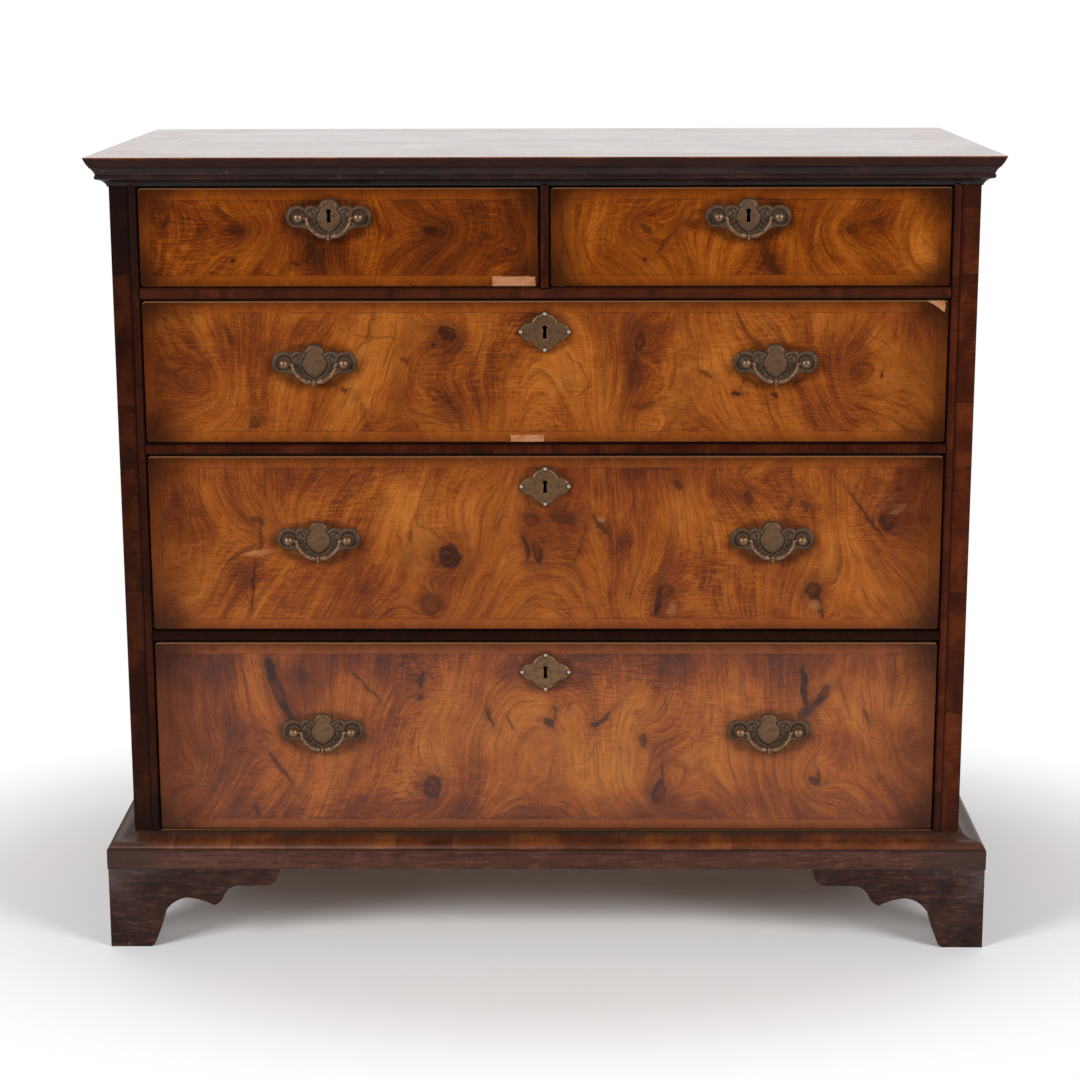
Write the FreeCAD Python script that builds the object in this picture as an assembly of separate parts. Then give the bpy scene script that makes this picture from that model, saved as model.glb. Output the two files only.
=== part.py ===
# A walnut chest of drawers: two short drawers over three long ones, in a carcase with
# a moulded top, a moulded base and four bracket feet.
# Millimetres. +Z is up, the front faces -Y, and the origin is on the floor under the
# middle of the chest.

import FreeCAD, Part
import math
import os

V = FreeCAD.Vector

# Carcase
carcase_width = 940.0
carcase_depth = 477.0
side_thickness = 20.0
sub_top_thickness = 22.3
bottom_thickness = 18.0
back_thickness = 12.0
back_lap = 8.0
back_board_count = 5
back_board_gap = 0.8
housing_depth = 5.0

# Top board and cornice
top_thickness = 10.0
top_overhang = 23.1

# Base moulding and feet
foot_height = 94.0
fascia_height = 22.0
base_slope_height = 15.0
base_overhang = 28.0
bracket_length = 195.0
bracket_inset = 0.8
rear_bracket_length = 150.0
rear_bracket_thickness = 18.0
foot_block_size = 18.0
foot_block_lift = 6.0

# Facings, beads, rails and what is behind them
facing_thickness = 3.0
bead_width = 9.5
bead_proud = 3.5
bead_depth = 10.0
rail_thickness = 12.8
rail_depth = 60.0
partition_thickness = 11.0
dustboard_thickness = 9.0
dustboard_gap = 5.0
guide_height = 28.0
stop_width = 40.0
stop_length = 30.0
stop_height = 6.0
stop_clearance = 0.3

# Drawers
short_front_height = 106.5
upper_front_height = 156.0
middle_front_height = 197.0
lower_front_height = 220.0
drawer_rear_gap = 15.0
front_thickness = 20.0
front_edge_radius = 1.8
front_corner_radius = 3.0
drawer_side_gap = 1.2
drawer_lower_gap = 1.0
drawer_upper_gap = 2.2
running_clearance = 0.3
drawer_side_thickness = 10.0
drawer_back_thickness = 10.0
drawer_bottom_thickness = 7.0
bottom_raise = 9.0
bottom_groove = 4.0
side_drop = 5.0
back_drop = 4.0
runner_width = 14.0
dovetail_lap = 8.0

# Handles
post_spacing = 65.0
plate_end_reach = 14.0
plate_height = 44.5
plate_thickness = 1.6
shank_radius = 2.5
shank_tail = 2.0
post_clearance = 0.15
collar_radius = 4.2
collar_length = 1.5
neck_radius = 2.8
pommel_radius = 5.6
pommel_reach = 10.0
nut_size = 10.0
nut_thickness = 4.0
bail_radius = 2.0
bail_drop = 20.5
bail_shoulder_radius = 3.0
bail_corner_radius = 11.0
bail_end_gap = 0.5
pintle_radius = 1.5
pintle_clearance = 0.06
pintle_hold = 3.5
knop_radius = 4.2
knop_width = 5.0
long_handle_offset = 252.0
left_handle_offset = 10.0
right_handle_offset = 3.0

# Escutcheons, keyholes and locks
escutcheon_width = 58.0
escutcheon_height = 45.0
escutcheon_thickness = 1.5
pin_inset = 2.7
pin_head_radius = 2.1
pin_head_height = 1.4
pin_radius = 0.8
pin_length = 9.0
pin_clearance = 0.05
key_radius = 2.7
key_height = 14.5
key_neck = 3.2
key_foot = 4.4
long_key_drop = 33.5
short_key_drop = 29.5
lock_clearance = 0.5
lock_height = 46.0
lock_depth = 10.0
lock_plate_margin = 5.0
lock_plate_thickness = 2.0
lock_nail_head = 2.2
lock_nail_length = 12.0
bolt_width = 24.0
bolt_thickness = 5.0
bolt_length = 20.0
bolt_recess = 0.5
bolt_travel = 8.0
bolt_clearance = 0.3
mortise_clearance = 1.0

# Shares, chosen by hand. Each row of an outline is the end of a line, or a point that
# an arc passes through and the arc's end.
cornice_shares = [
    [(0.07, 0.0)],
    [(0.07, 0.05)],
    [(0.215, 0.245), (0.44, 0.36)],
    [(0.49, 0.36)],
    [(0.57, 0.47), (0.52, 0.585)],
    [(0.605, 0.775), (0.72, 0.93)],
    [(0.765, 0.93)],
    [(0.765, 1.0)],
    [(0.0, 1.0)],
]
nose_start_share = (0.79, 0.0)
nose_shares = [
    [(0.895, 0.40), (0.985, 0.86)],
    [(1.0, 0.95), (0.985, 1.0)],
]
base_slope_shares = [
    [(0.95, 0.0)],
    [(0.95, 0.07)],
    [(0.875, 0.40), (0.68, 0.57)],
    [(0.36, 0.68), (0.13, 0.94)],
    [(0.0, 1.0)],
]
bracket_shares = [
    [(0.226, 0.0)],
    [(0.248, 0.017), (0.262, 0.064)],
    [(0.289, 0.213), (0.309, 0.372)],
    [(0.354, 0.527), (0.449, 0.628)],
    [(0.533, 0.601), (0.610, 0.532)],
    [(0.644, 0.572), (0.669, 0.649)],
    [(0.703, 0.743), (0.769, 0.784)],
    [(0.913, 0.784)],
    [(0.967, 0.825), (0.990, 0.926)],
    [(1.0, 1.0)],
    [(0.0, 1.0)],
]
rear_bracket_shares = [
    [(0.40, 0.0)],
    [(0.52, 0.38), (1.0, 0.62)],
    [(1.0, 1.0)],
    [(0.0, 1.0)],
]
plate_top_share = (0.0, 0.449)
plate_shares = [
    [(0.142, 0.411), (0.224, 0.297)],
    [(0.249, 0.243), (0.241, 0.198)],
    [(0.398, 0.283), (0.559, 0.211)],
    [(1.0, 0.007), (0.822, -0.261)],
    [(0.613, -0.276), (0.441, -0.342)],
    [(0.269, -0.485), (0.069, -0.512)],
    [(0.041, -0.544), (0.0, -0.551)],
]
escutcheon_top_share = (0.0, 1.0)
escutcheon_shares = [
    [(0.076, 0.951), (0.117, 0.853)],
    [(0.317, 0.738), (0.462, 0.498)],
    [(0.710, 0.427), (0.876, 0.142)],
    [(0.966, 0.084), (1.0, 0.0)],
]
stop_place_share = 0.6
tail_root_share = 0.56
tail_tip_share = 0.74
short_handle_share = 0.71
upper_handle_share = 0.570
middle_handle_share = 0.528
lower_handle_share = 0.536

# Planes that several pieces share
half_width = carcase_width / 2
front_y = (base_overhang - carcase_depth) / 2
back_y = front_y + carcase_depth
back_face_y = back_y - back_thickness
inner_half = half_width - side_thickness
opening_half = inner_half - bead_width
rail_front_y = front_y + bead_depth
rail_back_y = rail_front_y + rail_depth
dustboard_back_y = back_face_y - dustboard_gap
drawer_front_back_y = front_y + front_thickness
drawer_back_y = back_face_y - drawer_rear_gap
base_top_z = foot_height + fascia_height + base_slope_height
carcase_bottom_z = base_top_z - bottom_thickness


def opening_height(front_height):
    """The height of the opening around a drawer front."""
    return drawer_lower_gap + front_height + drawer_upper_gap


lower_z = base_top_z
lower_rail_z = lower_z + opening_height(lower_front_height)
middle_z = lower_rail_z + rail_thickness
middle_rail_z = middle_z + opening_height(middle_front_height)
upper_z = middle_rail_z + rail_thickness
upper_rail_z = upper_z + opening_height(upper_front_height)
short_z = upper_rail_z + rail_thickness
sub_top_z = short_z + opening_height(short_front_height)
carcase_top_z = sub_top_z + sub_top_thickness
rail_levels = [lower_rail_z, middle_rail_z, upper_rail_z]
plate_half_width = post_spacing / 2 + plate_end_reach
lock_plate_half = post_spacing / 2 - nut_size / 2 - lock_clearance
lock_half = lock_plate_half - lock_plate_margin


def block(low, high):
    """A rectangular block between two opposite corners."""
    size = [b - a for a, b in zip(low, high)]
    return Part.makeBox(*size, V(*low))


def outline(start, rows, place):
    """A face in the plane that place gives, from rows of lines and arcs, closed by a line."""
    edges = []
    here = start
    for row in rows:
        end = row[-1]
        if len(row) > 1:
            edges.append(Part.Arc(place(*here), place(*row[0]), place(*end)).toShape())
        else:
            edges.append(Part.makeLine(place(*here), place(*end)))
        here = end
    if here != start:
        edges.append(Part.makeLine(place(*here), place(*start)))
    return Part.Face(Part.Wire(edges))


def scaled(rows, across, up):
    """Rows of shares turned into rows of sizes."""
    return [[(across * a, up * b) for a, b in row] for row in rows]


def mirrored_rows(start, rows, across, up):
    """The rows that run back from the end of the given ones, mirrored."""
    points = [start] + [point for row in rows for point in row]
    points = [(across * a, up * b) for a, b in points]
    ends = [0]
    for row in rows:
        ends.append(ends[-1] + len(row))
    back = []
    for first, last in reversed(list(zip(ends, ends[1:]))):
        middle = points[first + 1:last]
        back.append(middle + [points[first]])
    return back


def prism(corners, z_low, z_high):
    """An upright prism on a plan polygon."""
    points = [V(x, y, z_low) for x, y in corners]
    face = Part.Face(Part.makePolygon(points + points[:1]))
    return face.extrude(V(0, 0, z_high - z_low))


def mirrored(shape):
    """The shape on the other side of the chest."""
    return shape.mirror(V(0, 0, 0), V(1, 0, 0))


def group(solids):
    """Several separate solids as one shape."""
    return Part.makeCompound(solids)


def surround(rows, overhang, z_low, height):
    """A moulding along the front and both sides of the carcase, mitred at the front corners."""
    outer = half_width + overhang
    outer_y = front_y - overhang
    z_high = z_low + height

    def front_place(out, up):
        return V(-outer, front_y - out, z_low + up)

    def side_place(out, up):
        return V(half_width + out, outer_y, z_low + up)

    front_plan = [(-outer, outer_y), (outer, outer_y), (half_width, front_y), (-half_width, front_y)]
    side_plan = [(half_width, front_y), (outer, outer_y), (outer, back_y), (half_width, back_y)]
    front = outline((0, 0), rows, front_place).extrude(V(2 * outer, 0, 0))
    front = front.common(prism(front_plan, z_low, z_high))
    right = outline((0, 0), rows, side_place).extrude(V(0, back_y - outer_y, 0))
    right = right.common(prism(side_plan, z_low, z_high))
    return [front, mirrored(right), right]


def make_top_board():
    """The top board, with its moulded nose along the front and both ends."""
    outer = half_width + top_overhang
    nose = scaled(nose_shares, top_overhang, top_thickness)
    start = (nose_start_share[0] * top_overhang, 0)

    def front_place(out, up):
        return V(-outer, front_y - out, carcase_top_z + up)

    def end_place(out, up):
        return V(half_width + out, front_y - top_overhang, carcase_top_z + up)

    front_rows = nose + [[(-carcase_depth, top_thickness)], [(-carcase_depth, 0)]]
    end_rows = nose + [[(-half_width - outer, top_thickness)], [(-half_width - outer, 0)]]
    along = outline(start, front_rows, front_place).extrude(V(2 * outer, 0, 0))
    across = outline(start, end_rows, end_place).extrude(V(0, carcase_depth + top_overhang, 0))
    return along.common(across).common(mirrored(across))


def make_cornice():
    """The three mitred lengths of the cornice moulding."""
    rows = scaled(cornice_shares, top_overhang, sub_top_thickness)
    return group(surround(rows, top_overhang, sub_top_z, sub_top_thickness))


def make_base_moulding():
    """The three mitred lengths of the base moulding: a fascia with an ogee above it."""
    slope = scaled(base_slope_shares, base_overhang, base_slope_height)
    slope = [[(out, fascia_height + up) for out, up in row] for row in slope]
    rows = [[(base_overhang, 0)], [(base_overhang, fascia_height)]] + slope
    height = fascia_height + base_slope_height
    return group(surround(rows, base_overhang, foot_height, height))


def make_front_foot():
    """The right front foot: two mitred brackets and the glue block behind them."""
    reach = base_overhang - bracket_inset
    outer = half_width + reach
    outer_y = front_y - reach
    inner_end = outer - bracket_length
    side_end = outer_y + bracket_length
    rows = scaled(bracket_shares, bracket_length, foot_height)

    def front_place(offset, up):
        return V(outer - offset, outer_y, up)

    def side_place(offset, up):
        return V(outer, outer_y + offset, up)

    front_plan = [(inner_end, outer_y), (outer, outer_y), (half_width, front_y), (inner_end, front_y)]
    side_plan = [(outer, outer_y), (outer, side_end), (half_width, side_end), (half_width, front_y)]
    front = outline((0, 0), rows, front_place).extrude(V(0, reach, 0))
    side = outline((0, 0), rows, side_place).extrude(V(-reach, 0, 0))
    glue_block = block(
        (half_width - foot_block_size, front_y, foot_block_lift),
        (half_width, front_y + foot_block_size, carcase_bottom_z),
    )
    return group([
        front.common(prism(front_plan, 0, foot_height)),
        side.common(prism(side_plan, 0, foot_height)),
        glue_block,
    ])


def make_rear_foot():
    """The right rear foot: a side bracket, a plain rear bracket and the glue block between them."""
    reach = base_overhang - bracket_inset
    outer = half_width + reach

    def side_place(offset, up):
        return V(outer, back_y - offset, up)

    def rear_place(offset, up):
        return V(half_width - offset, back_y, up)

    rows = scaled(bracket_shares, bracket_length, foot_height)
    side = outline((0, 0), rows, side_place).extrude(V(-reach, 0, 0))
    rear_rows = scaled(rear_bracket_shares, rear_bracket_length, carcase_bottom_z)
    rear = outline((0, 0), rear_rows, rear_place).extrude(V(0, -rear_bracket_thickness, 0))
    block_back_y = back_y - rear_bracket_thickness
    glue_block = block(
        (half_width - foot_block_size, block_back_y - foot_block_size, foot_block_lift),
        (half_width, block_back_y, carcase_bottom_z),
    )
    return group([side, rear, glue_block])


def make_rail(z_low):
    """A drawer rail, let into the sides."""
    reach = inner_half + housing_depth
    return block((-reach, rail_front_y, z_low), (reach, rail_back_y, z_low + rail_thickness))


def make_dustboard(z_low):
    """The board behind a rail, flush with its upper face."""
    reach = inner_half + housing_depth
    z_high = z_low + rail_thickness
    return block((-reach, rail_back_y, z_high - dustboard_thickness), (reach, dustboard_back_y, z_high))


def make_sub_top():
    """The carcase's own top, which the top board lies on."""
    reach = inner_half + housing_depth
    return block((-reach, front_y, sub_top_z), (reach, back_face_y, carcase_top_z))


def make_bottom_board():
    """The carcase bottom, which the lowest drawer runs on."""
    reach = inner_half + housing_depth
    return block((-reach, front_y, carcase_bottom_z), (reach, back_face_y, base_top_z))


def make_partition():
    """The upright board between the short drawers, let into the carcase top."""
    half = partition_thickness / 2
    return block((-half, rail_front_y, short_z), (half, dustboard_back_y, sub_top_z + housing_depth))


def make_back_boards():
    """The upright back boards, in the rebates of the sides."""
    reach = inner_half + back_lap
    pitch = (2 * reach + back_board_gap) / back_board_count
    boards = []
    for index in range(back_board_count):
        x_low = -reach + index * pitch
        x_high = x_low + pitch - back_board_gap
        boards.append(block((x_low, back_face_y, carcase_bottom_z), (x_high, back_y, carcase_top_z)))
    return boards


def make_side(housed):
    """The right carcase side, with housings for the boards let into it and a rebate for the back."""
    side = block(
        (inner_half, front_y + facing_thickness, carcase_bottom_z),
        (half_width, back_y, carcase_top_z),
    )
    rebate = block(
        (inner_half, back_face_y, carcase_bottom_z),
        (inner_half + back_lap, back_y, carcase_top_z),
    )
    return side.cut(housed).cut(rebate)


def make_facing(housed):
    """The right cross-grained facing on the front edge of a side."""
    facing = block(
        (inner_half, front_y, carcase_bottom_z),
        (half_width, front_y + facing_thickness, carcase_top_z),
    )
    return facing.cut(housed)


def upright_bead(x_low, x_high, z_low, z_high):
    """An upright half-round bead that stands proud of the carcase front."""
    middle = (x_low + x_high) / 2
    rows = [
        [(middle, bead_proud), (x_high, 0)],
        [(x_high, -bead_depth)],
        [(x_low, -bead_depth)],
    ]
    face = outline((x_low, 0), rows, lambda x, out: V(x, front_y - out, z_low))
    return face.extrude(V(0, 0, z_high - z_low))


def rail_bead(z_low):
    """The half-round bead in front of a rail."""
    rows = [
        [(rail_thickness / 2, bead_proud), (rail_thickness, 0)],
        [(rail_thickness, -bead_depth)],
        [(0, -bead_depth)],
    ]
    face = outline((0, 0), rows, lambda up, out: V(-opening_half, front_y - out, z_low + up))
    return face.extrude(V(2 * opening_half, 0, 0))


class Drawer:
    """One drawer's place, sizes and fittings."""

    def __init__(self, name, x_low, x_high, z_low, height, tails, handles, handle_share, key_x, key_drop):
        self.name = name
        self.x_low = x_low + drawer_side_gap
        self.x_high = x_high - drawer_side_gap
        self.opening_z = z_low
        self.z_low = z_low + drawer_lower_gap
        self.z_high = self.z_low + height
        self.tails = tails
        self.handle_xs = handles
        self.handle_z = self.z_low + handle_share * height
        self.key_x = key_x
        self.key_z = self.z_high - key_drop
        self.side_z = z_low + running_clearance
        self.side_top_z = self.z_high - side_drop
        self.bottom_z = self.side_z + bottom_raise
        self.bottom_top_z = self.bottom_z + drawer_bottom_thickness
        self.back_top_z = self.side_top_z - back_drop

    @property
    def key_in_plate(self):
        """Is the keyhole in a handle plate, with no escutcheon?"""
        return self.key_x in self.handle_xs


def tail_rows(count, z_low, z_high, root_y, tip_y):
    """The corners of the dovetails along an end of a drawer side, from the lowest up."""
    pitch = (z_high - z_low) / count
    corners = []
    for index in range(count):
        middle = z_low + (index + 0.5) * pitch
        root = tail_root_share * pitch / 2
        tip = tail_tip_share * pitch / 2
        corners += [(root_y, middle - root), (tip_y, middle - tip)]
        corners += [(tip_y, middle + tip), (root_y, middle + root)]
    return corners


def drawer_side(drawer, x_low):
    """A drawer side with dovetails into the front and through the back."""
    tip_y = front_y + dovetail_lap
    root_y = drawer_back_y - drawer_back_thickness
    z_low = drawer.side_z
    z_high = drawer.side_top_z
    front_tails = tail_rows(drawer.tails, z_low, z_high, drawer_front_back_y, tip_y)
    back_tails = tail_rows(drawer.tails, drawer.bottom_top_z, drawer.back_top_z, root_y, drawer_back_y)
    corners = [(drawer_front_back_y, z_low)] + front_tails + [(drawer_front_back_y, z_high)]
    corners += [(drawer_back_y, z_high), (drawer_back_y, drawer.back_top_z), (root_y, drawer.back_top_z)]
    corners += back_tails[::-1]
    corners += [(root_y, drawer.bottom_top_z), (drawer_back_y, drawer.bottom_top_z), (drawer_back_y, z_low)]
    points = [V(x_low, y, z) for y, z in corners]
    face = Part.Face(Part.makePolygon(points + points[:1]))
    return face.extrude(V(drawer_side_thickness, 0, 0))


def rounded_front(drawer):
    """A drawer front's block, with rounded corners and an eased front edge."""
    body = block((drawer.x_low, front_y, drawer.z_low), (drawer.x_high, drawer_front_back_y, drawer.z_high))
    across = [e for e in body.Edges if abs(e.tangentAt(e.FirstParameter).y) > 0.5]
    body = body.makeFillet(front_corner_radius, across)
    rim = [e for e in body.Edges if e.BoundBox.YMax < front_y + front_edge_radius / 2]
    return body.makeFillet(front_edge_radius, rim)


def keyhole(drawer, y_low, y_high):
    """A keyhole's cutter: a round head over a slot that widens downwards."""
    centre = key_height / 2 - key_radius
    neck = key_neck / 2
    join = centre - math.sqrt(key_radius**2 - neck**2)
    foot = key_foot / 2
    rows = [
        [(0, centre + key_radius), (neck, join)],
        [(foot, -key_height / 2)],
        [(-foot, -key_height / 2)],
    ]
    face = outline((-neck, join), rows, lambda x, z: V(drawer.key_x + x, y_low, drawer.key_z + z))
    return face.extrude(V(0, y_high - y_low, 0))


def rod(radius, start, along, length):
    """A round rod from a point, along a direction."""
    return Part.makeCylinder(radius, length, V(*start), V(*along))


def post_places(drawer):
    """The x of each post of a drawer, with the side of the handle's middle that it is on."""
    half = post_spacing / 2
    return [(x + side * half, side) for x in drawer.handle_xs for side in (-1, 1)]


def post_holes(drawer, y_low, y_high):
    """Cutters for a drawer's post holes."""
    radius = shank_radius + post_clearance
    return [
        rod(radius, (x, y_low, drawer.handle_z), (0, 1, 0), y_high - y_low)
        for x, _ in post_places(drawer)
    ]


def make_post(x, z, side):
    """A pommel post: shank, collar, neck and ball, with a socket for the bail's pintle."""
    tail = -(front_thickness + nut_thickness + shank_tail)
    collar_end = plate_thickness + collar_length
    ball_start = pommel_reach - math.sqrt(pommel_radius**2 - neck_radius**2)
    rows = [
        [(shank_radius, tail)],
        [(shank_radius, plate_thickness)],
        [(collar_radius, plate_thickness)],
        [(collar_radius, collar_end)],
        [(neck_radius, collar_end)],
        [(neck_radius, ball_start)],
        [(pommel_radius, pommel_reach), (0, pommel_reach + pommel_radius)],
    ]
    face = outline((0, tail), rows, lambda radius, out: V(x + radius, front_y - out, z))
    post = face.revolve(V(x, front_y, z), V(0, 1, 0), 360)
    depth = pintle_hold + bail_end_gap
    mouth = x - side * (pommel_radius + bail_end_gap)
    socket = rod(
        pintle_radius + pintle_clearance,
        (mouth, front_y - pommel_reach, z),
        (side, 0, 0),
        depth + bail_end_gap,
    )
    return post.cut(socket)


def make_nut(x, z):
    """A square nut behind the drawer front."""
    half = nut_size / 2
    nut = block(
        (x - half, drawer_front_back_y, z - half),
        (x + half, drawer_front_back_y + nut_thickness, z + half),
    )
    hole = rod(shank_radius + post_clearance, (x, drawer_front_back_y, z), (0, 1, 0), nut_thickness)
    return nut.cut(hole)


def make_posts(drawer):
    """All the posts of a drawer, with their nuts."""
    solids = []
    for x, side in post_places(drawer):
        solids.append(make_post(x, drawer.handle_z, side))
        solids.append(make_nut(x, drawer.handle_z))
    return group(solids)


def make_plate(drawer, x):
    """A handle plate with its lobed outline, post holes and, on a short drawer, a keyhole."""
    right = scaled(plate_shares, plate_half_width, plate_height)
    left = mirrored_rows(plate_top_share, plate_shares, -plate_half_width, plate_height)
    start = (0, plate_top_share[1] * plate_height)
    face = outline(start, right + left, lambda a, b: V(x + a, front_y, drawer.handle_z + b))
    plate = face.extrude(V(0, -plate_thickness, 0))
    plate = plate.cut(post_holes(drawer, front_y - plate_thickness, front_y))
    if drawer.key_in_plate:
        plate = plate.cut(keyhole(drawer, front_y - plate_thickness, front_y))
    return plate


def pin_places(drawer):
    """The four places of an escutcheon's pins, as x and z."""
    across = escutcheon_width / 2 - pin_inset
    up = escutcheon_height / 2 - pin_inset
    offsets = [(-across, 0), (across, 0), (0, -up), (0, up)]
    return [(drawer.key_x + a, drawer.key_z + b) for a, b in offsets]


def make_escutcheon(drawer):
    """A lozenge escutcheon with lobed sides, a keyhole and pin holes."""
    half = escutcheon_width / 2
    rise = escutcheon_height / 2
    rows = scaled(escutcheon_shares, half, rise)
    rows += mirrored_rows(escutcheon_top_share, escutcheon_shares, half, -rise)
    rows += scaled(escutcheon_shares, -half, -rise)
    rows += mirrored_rows(escutcheon_top_share, escutcheon_shares, -half, rise)
    face = outline((0, rise), rows, lambda a, b: V(drawer.key_x + a, front_y, drawer.key_z + b))
    plate = face.extrude(V(0, -escutcheon_thickness, 0))
    return plate.cut([keyhole(drawer, front_y - escutcheon_thickness, front_y)] + pin_holes(drawer))


def pin_holes(drawer):
    """Cutters for an escutcheon's pins, in the plate and in the drawer front."""
    length = pin_length + escutcheon_thickness
    return [
        rod(pin_radius + pin_clearance, (x, front_y - escutcheon_thickness, z), (0, 1, 0), length)
        for x, z in pin_places(drawer)
    ]


def make_pin(x, z):
    """An escutcheon pin: a domed head on a shank."""
    dome = (pin_head_radius**2 + pin_head_height**2) / (2 * pin_head_height)
    tip = escutcheon_thickness + pin_head_height
    half_angle = math.asin(pin_head_radius / dome) / 2
    middle = (dome * math.sin(half_angle), tip - dome + dome * math.cos(half_angle))
    rows = [
        [(pin_radius, -pin_length)],
        [(pin_radius, escutcheon_thickness)],
        [(pin_head_radius, escutcheon_thickness)],
        [middle, (0, tip)],
    ]
    face = outline((0, -pin_length), rows, lambda radius, out: V(x + radius, front_y - out, z))
    return face.revolve(V(x, front_y, z), V(0, 1, 0), 360)


def make_plates(drawer):
    """The handle plates of a drawer and, on a long drawer, its escutcheon and pins."""
    solids = [make_plate(drawer, x) for x in drawer.handle_xs]
    if not drawer.key_in_plate:
        solids.append(make_escutcheon(drawer))
        solids += [make_pin(x, z) for x, z in pin_places(drawer)]
    return group(solids)


def make_bail(x, z):
    """A bail: a round rod on a three-centred curve, with a pintle at each end and a middle knop."""
    half = post_spacing / 2 - pommel_radius - bail_end_gap - bail_shoulder_radius
    depth = bail_drop - bail_shoulder_radius
    corner = bail_corner_radius
    bow = (half**2 - 2 * half * corner + depth**2) / (2 * (depth - corner))
    bow_z = bow - bail_drop
    corner_x = half - corner
    angle = math.atan2(-bail_shoulder_radius - bow_z, corner_x)
    joint = (bow * math.cos(angle), bow_z + bow * math.sin(angle))
    quarter = bail_shoulder_radius * (1 - math.sqrt(0.5))
    corner_mid = (
        corner_x + corner * math.cos(angle / 2),
        -bail_shoulder_radius + corner * math.sin(angle / 2),
    )
    end = half + bail_shoulder_radius

    def place(a, b):
        return V(x + a, front_y - pommel_reach, z + b)

    arcs = [
        ((end, 0), (half + quarter, -quarter), (half, -bail_shoulder_radius)),
        ((half, -bail_shoulder_radius), corner_mid, joint),
    ]
    edges = [Part.Arc(*[place(*p) for p in arc]).toShape() for arc in arcs]
    edges.append(Part.Arc(place(*joint), place(0, -bail_drop), place(-joint[0], joint[1])).toShape())
    for arc in reversed(arcs):
        edges.append(Part.Arc(*[place(-a, b) for a, b in reversed(arc)]).toShape())
    section = Part.Wire([Part.makeCircle(bail_radius, place(end, 0), V(1, 0, 0))])
    bail = Part.Wire(edges).makePipeShell([section], True, False)
    length = bail_end_gap + pintle_hold
    for side in (-1, 1):
        bail = bail.fuse(rod(pintle_radius, tuple(place(side * end, 0)), (side, 0, 0), length))
    knop_rows = [
        [(-knop_width / 2, bail_radius)],
        [(0, knop_radius), (knop_width / 2, bail_radius)],
        [(knop_width / 2, 0)],
    ]
    knop = outline((-knop_width / 2, 0), knop_rows, lambda a, r: place(a, r - bail_drop))
    knop = knop.revolve(place(0, -bail_drop), V(1, 0, 0), 360)
    return bail.fuse(knop)


def lock_case(drawer):
    """The block of a lock that is let into the drawer front."""
    return block(
        (drawer.key_x - lock_half, drawer_front_back_y - lock_depth, drawer.z_high - lock_height),
        (drawer.key_x + lock_half, drawer_front_back_y, drawer.z_high),
    )


def lock_nail_places(drawer):
    """The four places of the nails in a lock's back plate, as x and z."""
    across = (lock_half + lock_plate_half) / 2
    low = drawer.z_high - lock_height + lock_plate_margin
    high = drawer.z_high - lock_plate_margin
    return [(drawer.key_x + side * across, z) for side in (-1, 1) for z in (low, high)]


def make_lock_nails(drawer):
    """The nails that hold a lock: a flat round head and a shank, for each corner."""
    face_y = drawer_front_back_y + lock_plate_thickness
    nails = []
    for x, z in lock_nail_places(drawer):
        head = rod(lock_nail_head, (x, face_y, z), (0, 1, 0), pin_head_height)
        shank = rod(pin_radius, (x, face_y - lock_nail_length, z), (0, 1, 0), lock_nail_length)
        nails.append(head.fuse(shank))
    return nails


def lock_nail_holes(drawer):
    """Cutters for a lock's nails."""
    face_y = drawer_front_back_y + lock_plate_thickness
    return [
        rod(pin_radius + pin_clearance, (x, face_y - lock_nail_length, z), (0, 1, 0), lock_nail_length)
        for x, z in lock_nail_places(drawer)
    ]


def bolt_block(drawer, clearance, z_low, z_high):
    """A block around a bolt's place, wider than the bolt by a clearance on each side."""
    middle_y = drawer_front_back_y - lock_depth / 2
    half = bolt_width / 2 + clearance
    half_thickness = bolt_thickness / 2 + clearance
    return block(
        (drawer.key_x - half, middle_y - half_thickness, z_low),
        (drawer.key_x + half, middle_y + half_thickness, z_high),
    )


def make_bolt(drawer):
    """A lock's sliding bolt, drawn in."""
    z_high = drawer.z_high - bolt_recess
    return bolt_block(drawer, 0, z_high - bolt_length, z_high)


def bolt_mortise(drawer):
    """The mortise for a bolt in what is above its drawer."""
    z_low = drawer.z_high + drawer_upper_gap
    z_high = drawer.z_high - bolt_recess + bolt_travel + mortise_clearance
    return bolt_block(drawer, mortise_clearance, z_low, z_high)


def make_lock(drawer):
    """A lock: its case and back plate as one piece, with the bolt's channel, and its nails."""
    plate = block(
        (drawer.key_x - lock_plate_half, drawer_front_back_y, drawer.z_high - lock_height),
        (drawer.key_x + lock_plate_half, drawer_front_back_y + lock_plate_thickness, drawer.z_high),
    )
    channel_low = drawer.z_high - bolt_recess - bolt_length - bolt_clearance
    channel = bolt_block(drawer, bolt_clearance, channel_low, drawer.z_high)
    case_y = drawer_front_back_y - lock_depth
    key_way = keyhole(drawer, case_y, drawer_front_back_y - lock_depth / 2)
    lock = lock_case(drawer).fuse(plate).removeSplitter()
    lock = lock.cut([channel, key_way] + lock_nail_holes(drawer))
    return group([lock] + make_lock_nails(drawer))


def drawer_bottom_board(drawer):
    """The bottom board, in grooves of the front and the sides, and under the back."""
    inset = drawer_side_thickness - bottom_groove
    return block(
        (drawer.x_low + inset, drawer_front_back_y - bottom_groove, drawer.bottom_z),
        (drawer.x_high - inset, drawer_back_y, drawer.bottom_top_z),
    )


def make_drawer_bottom(drawer):
    """The bottom board of a drawer, and the runner strips glued under it."""
    solids = [drawer_bottom_board(drawer)]
    left = drawer.x_low + drawer_side_thickness
    right = drawer.x_high - drawer_side_thickness
    for x_low, x_high in ((left, left + runner_width), (right - runner_width, right)):
        low = (x_low, drawer_front_back_y, drawer.side_z)
        solids.append(block(low, (x_high, drawer_back_y, drawer.bottom_z)))
    return group(solids)


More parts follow.
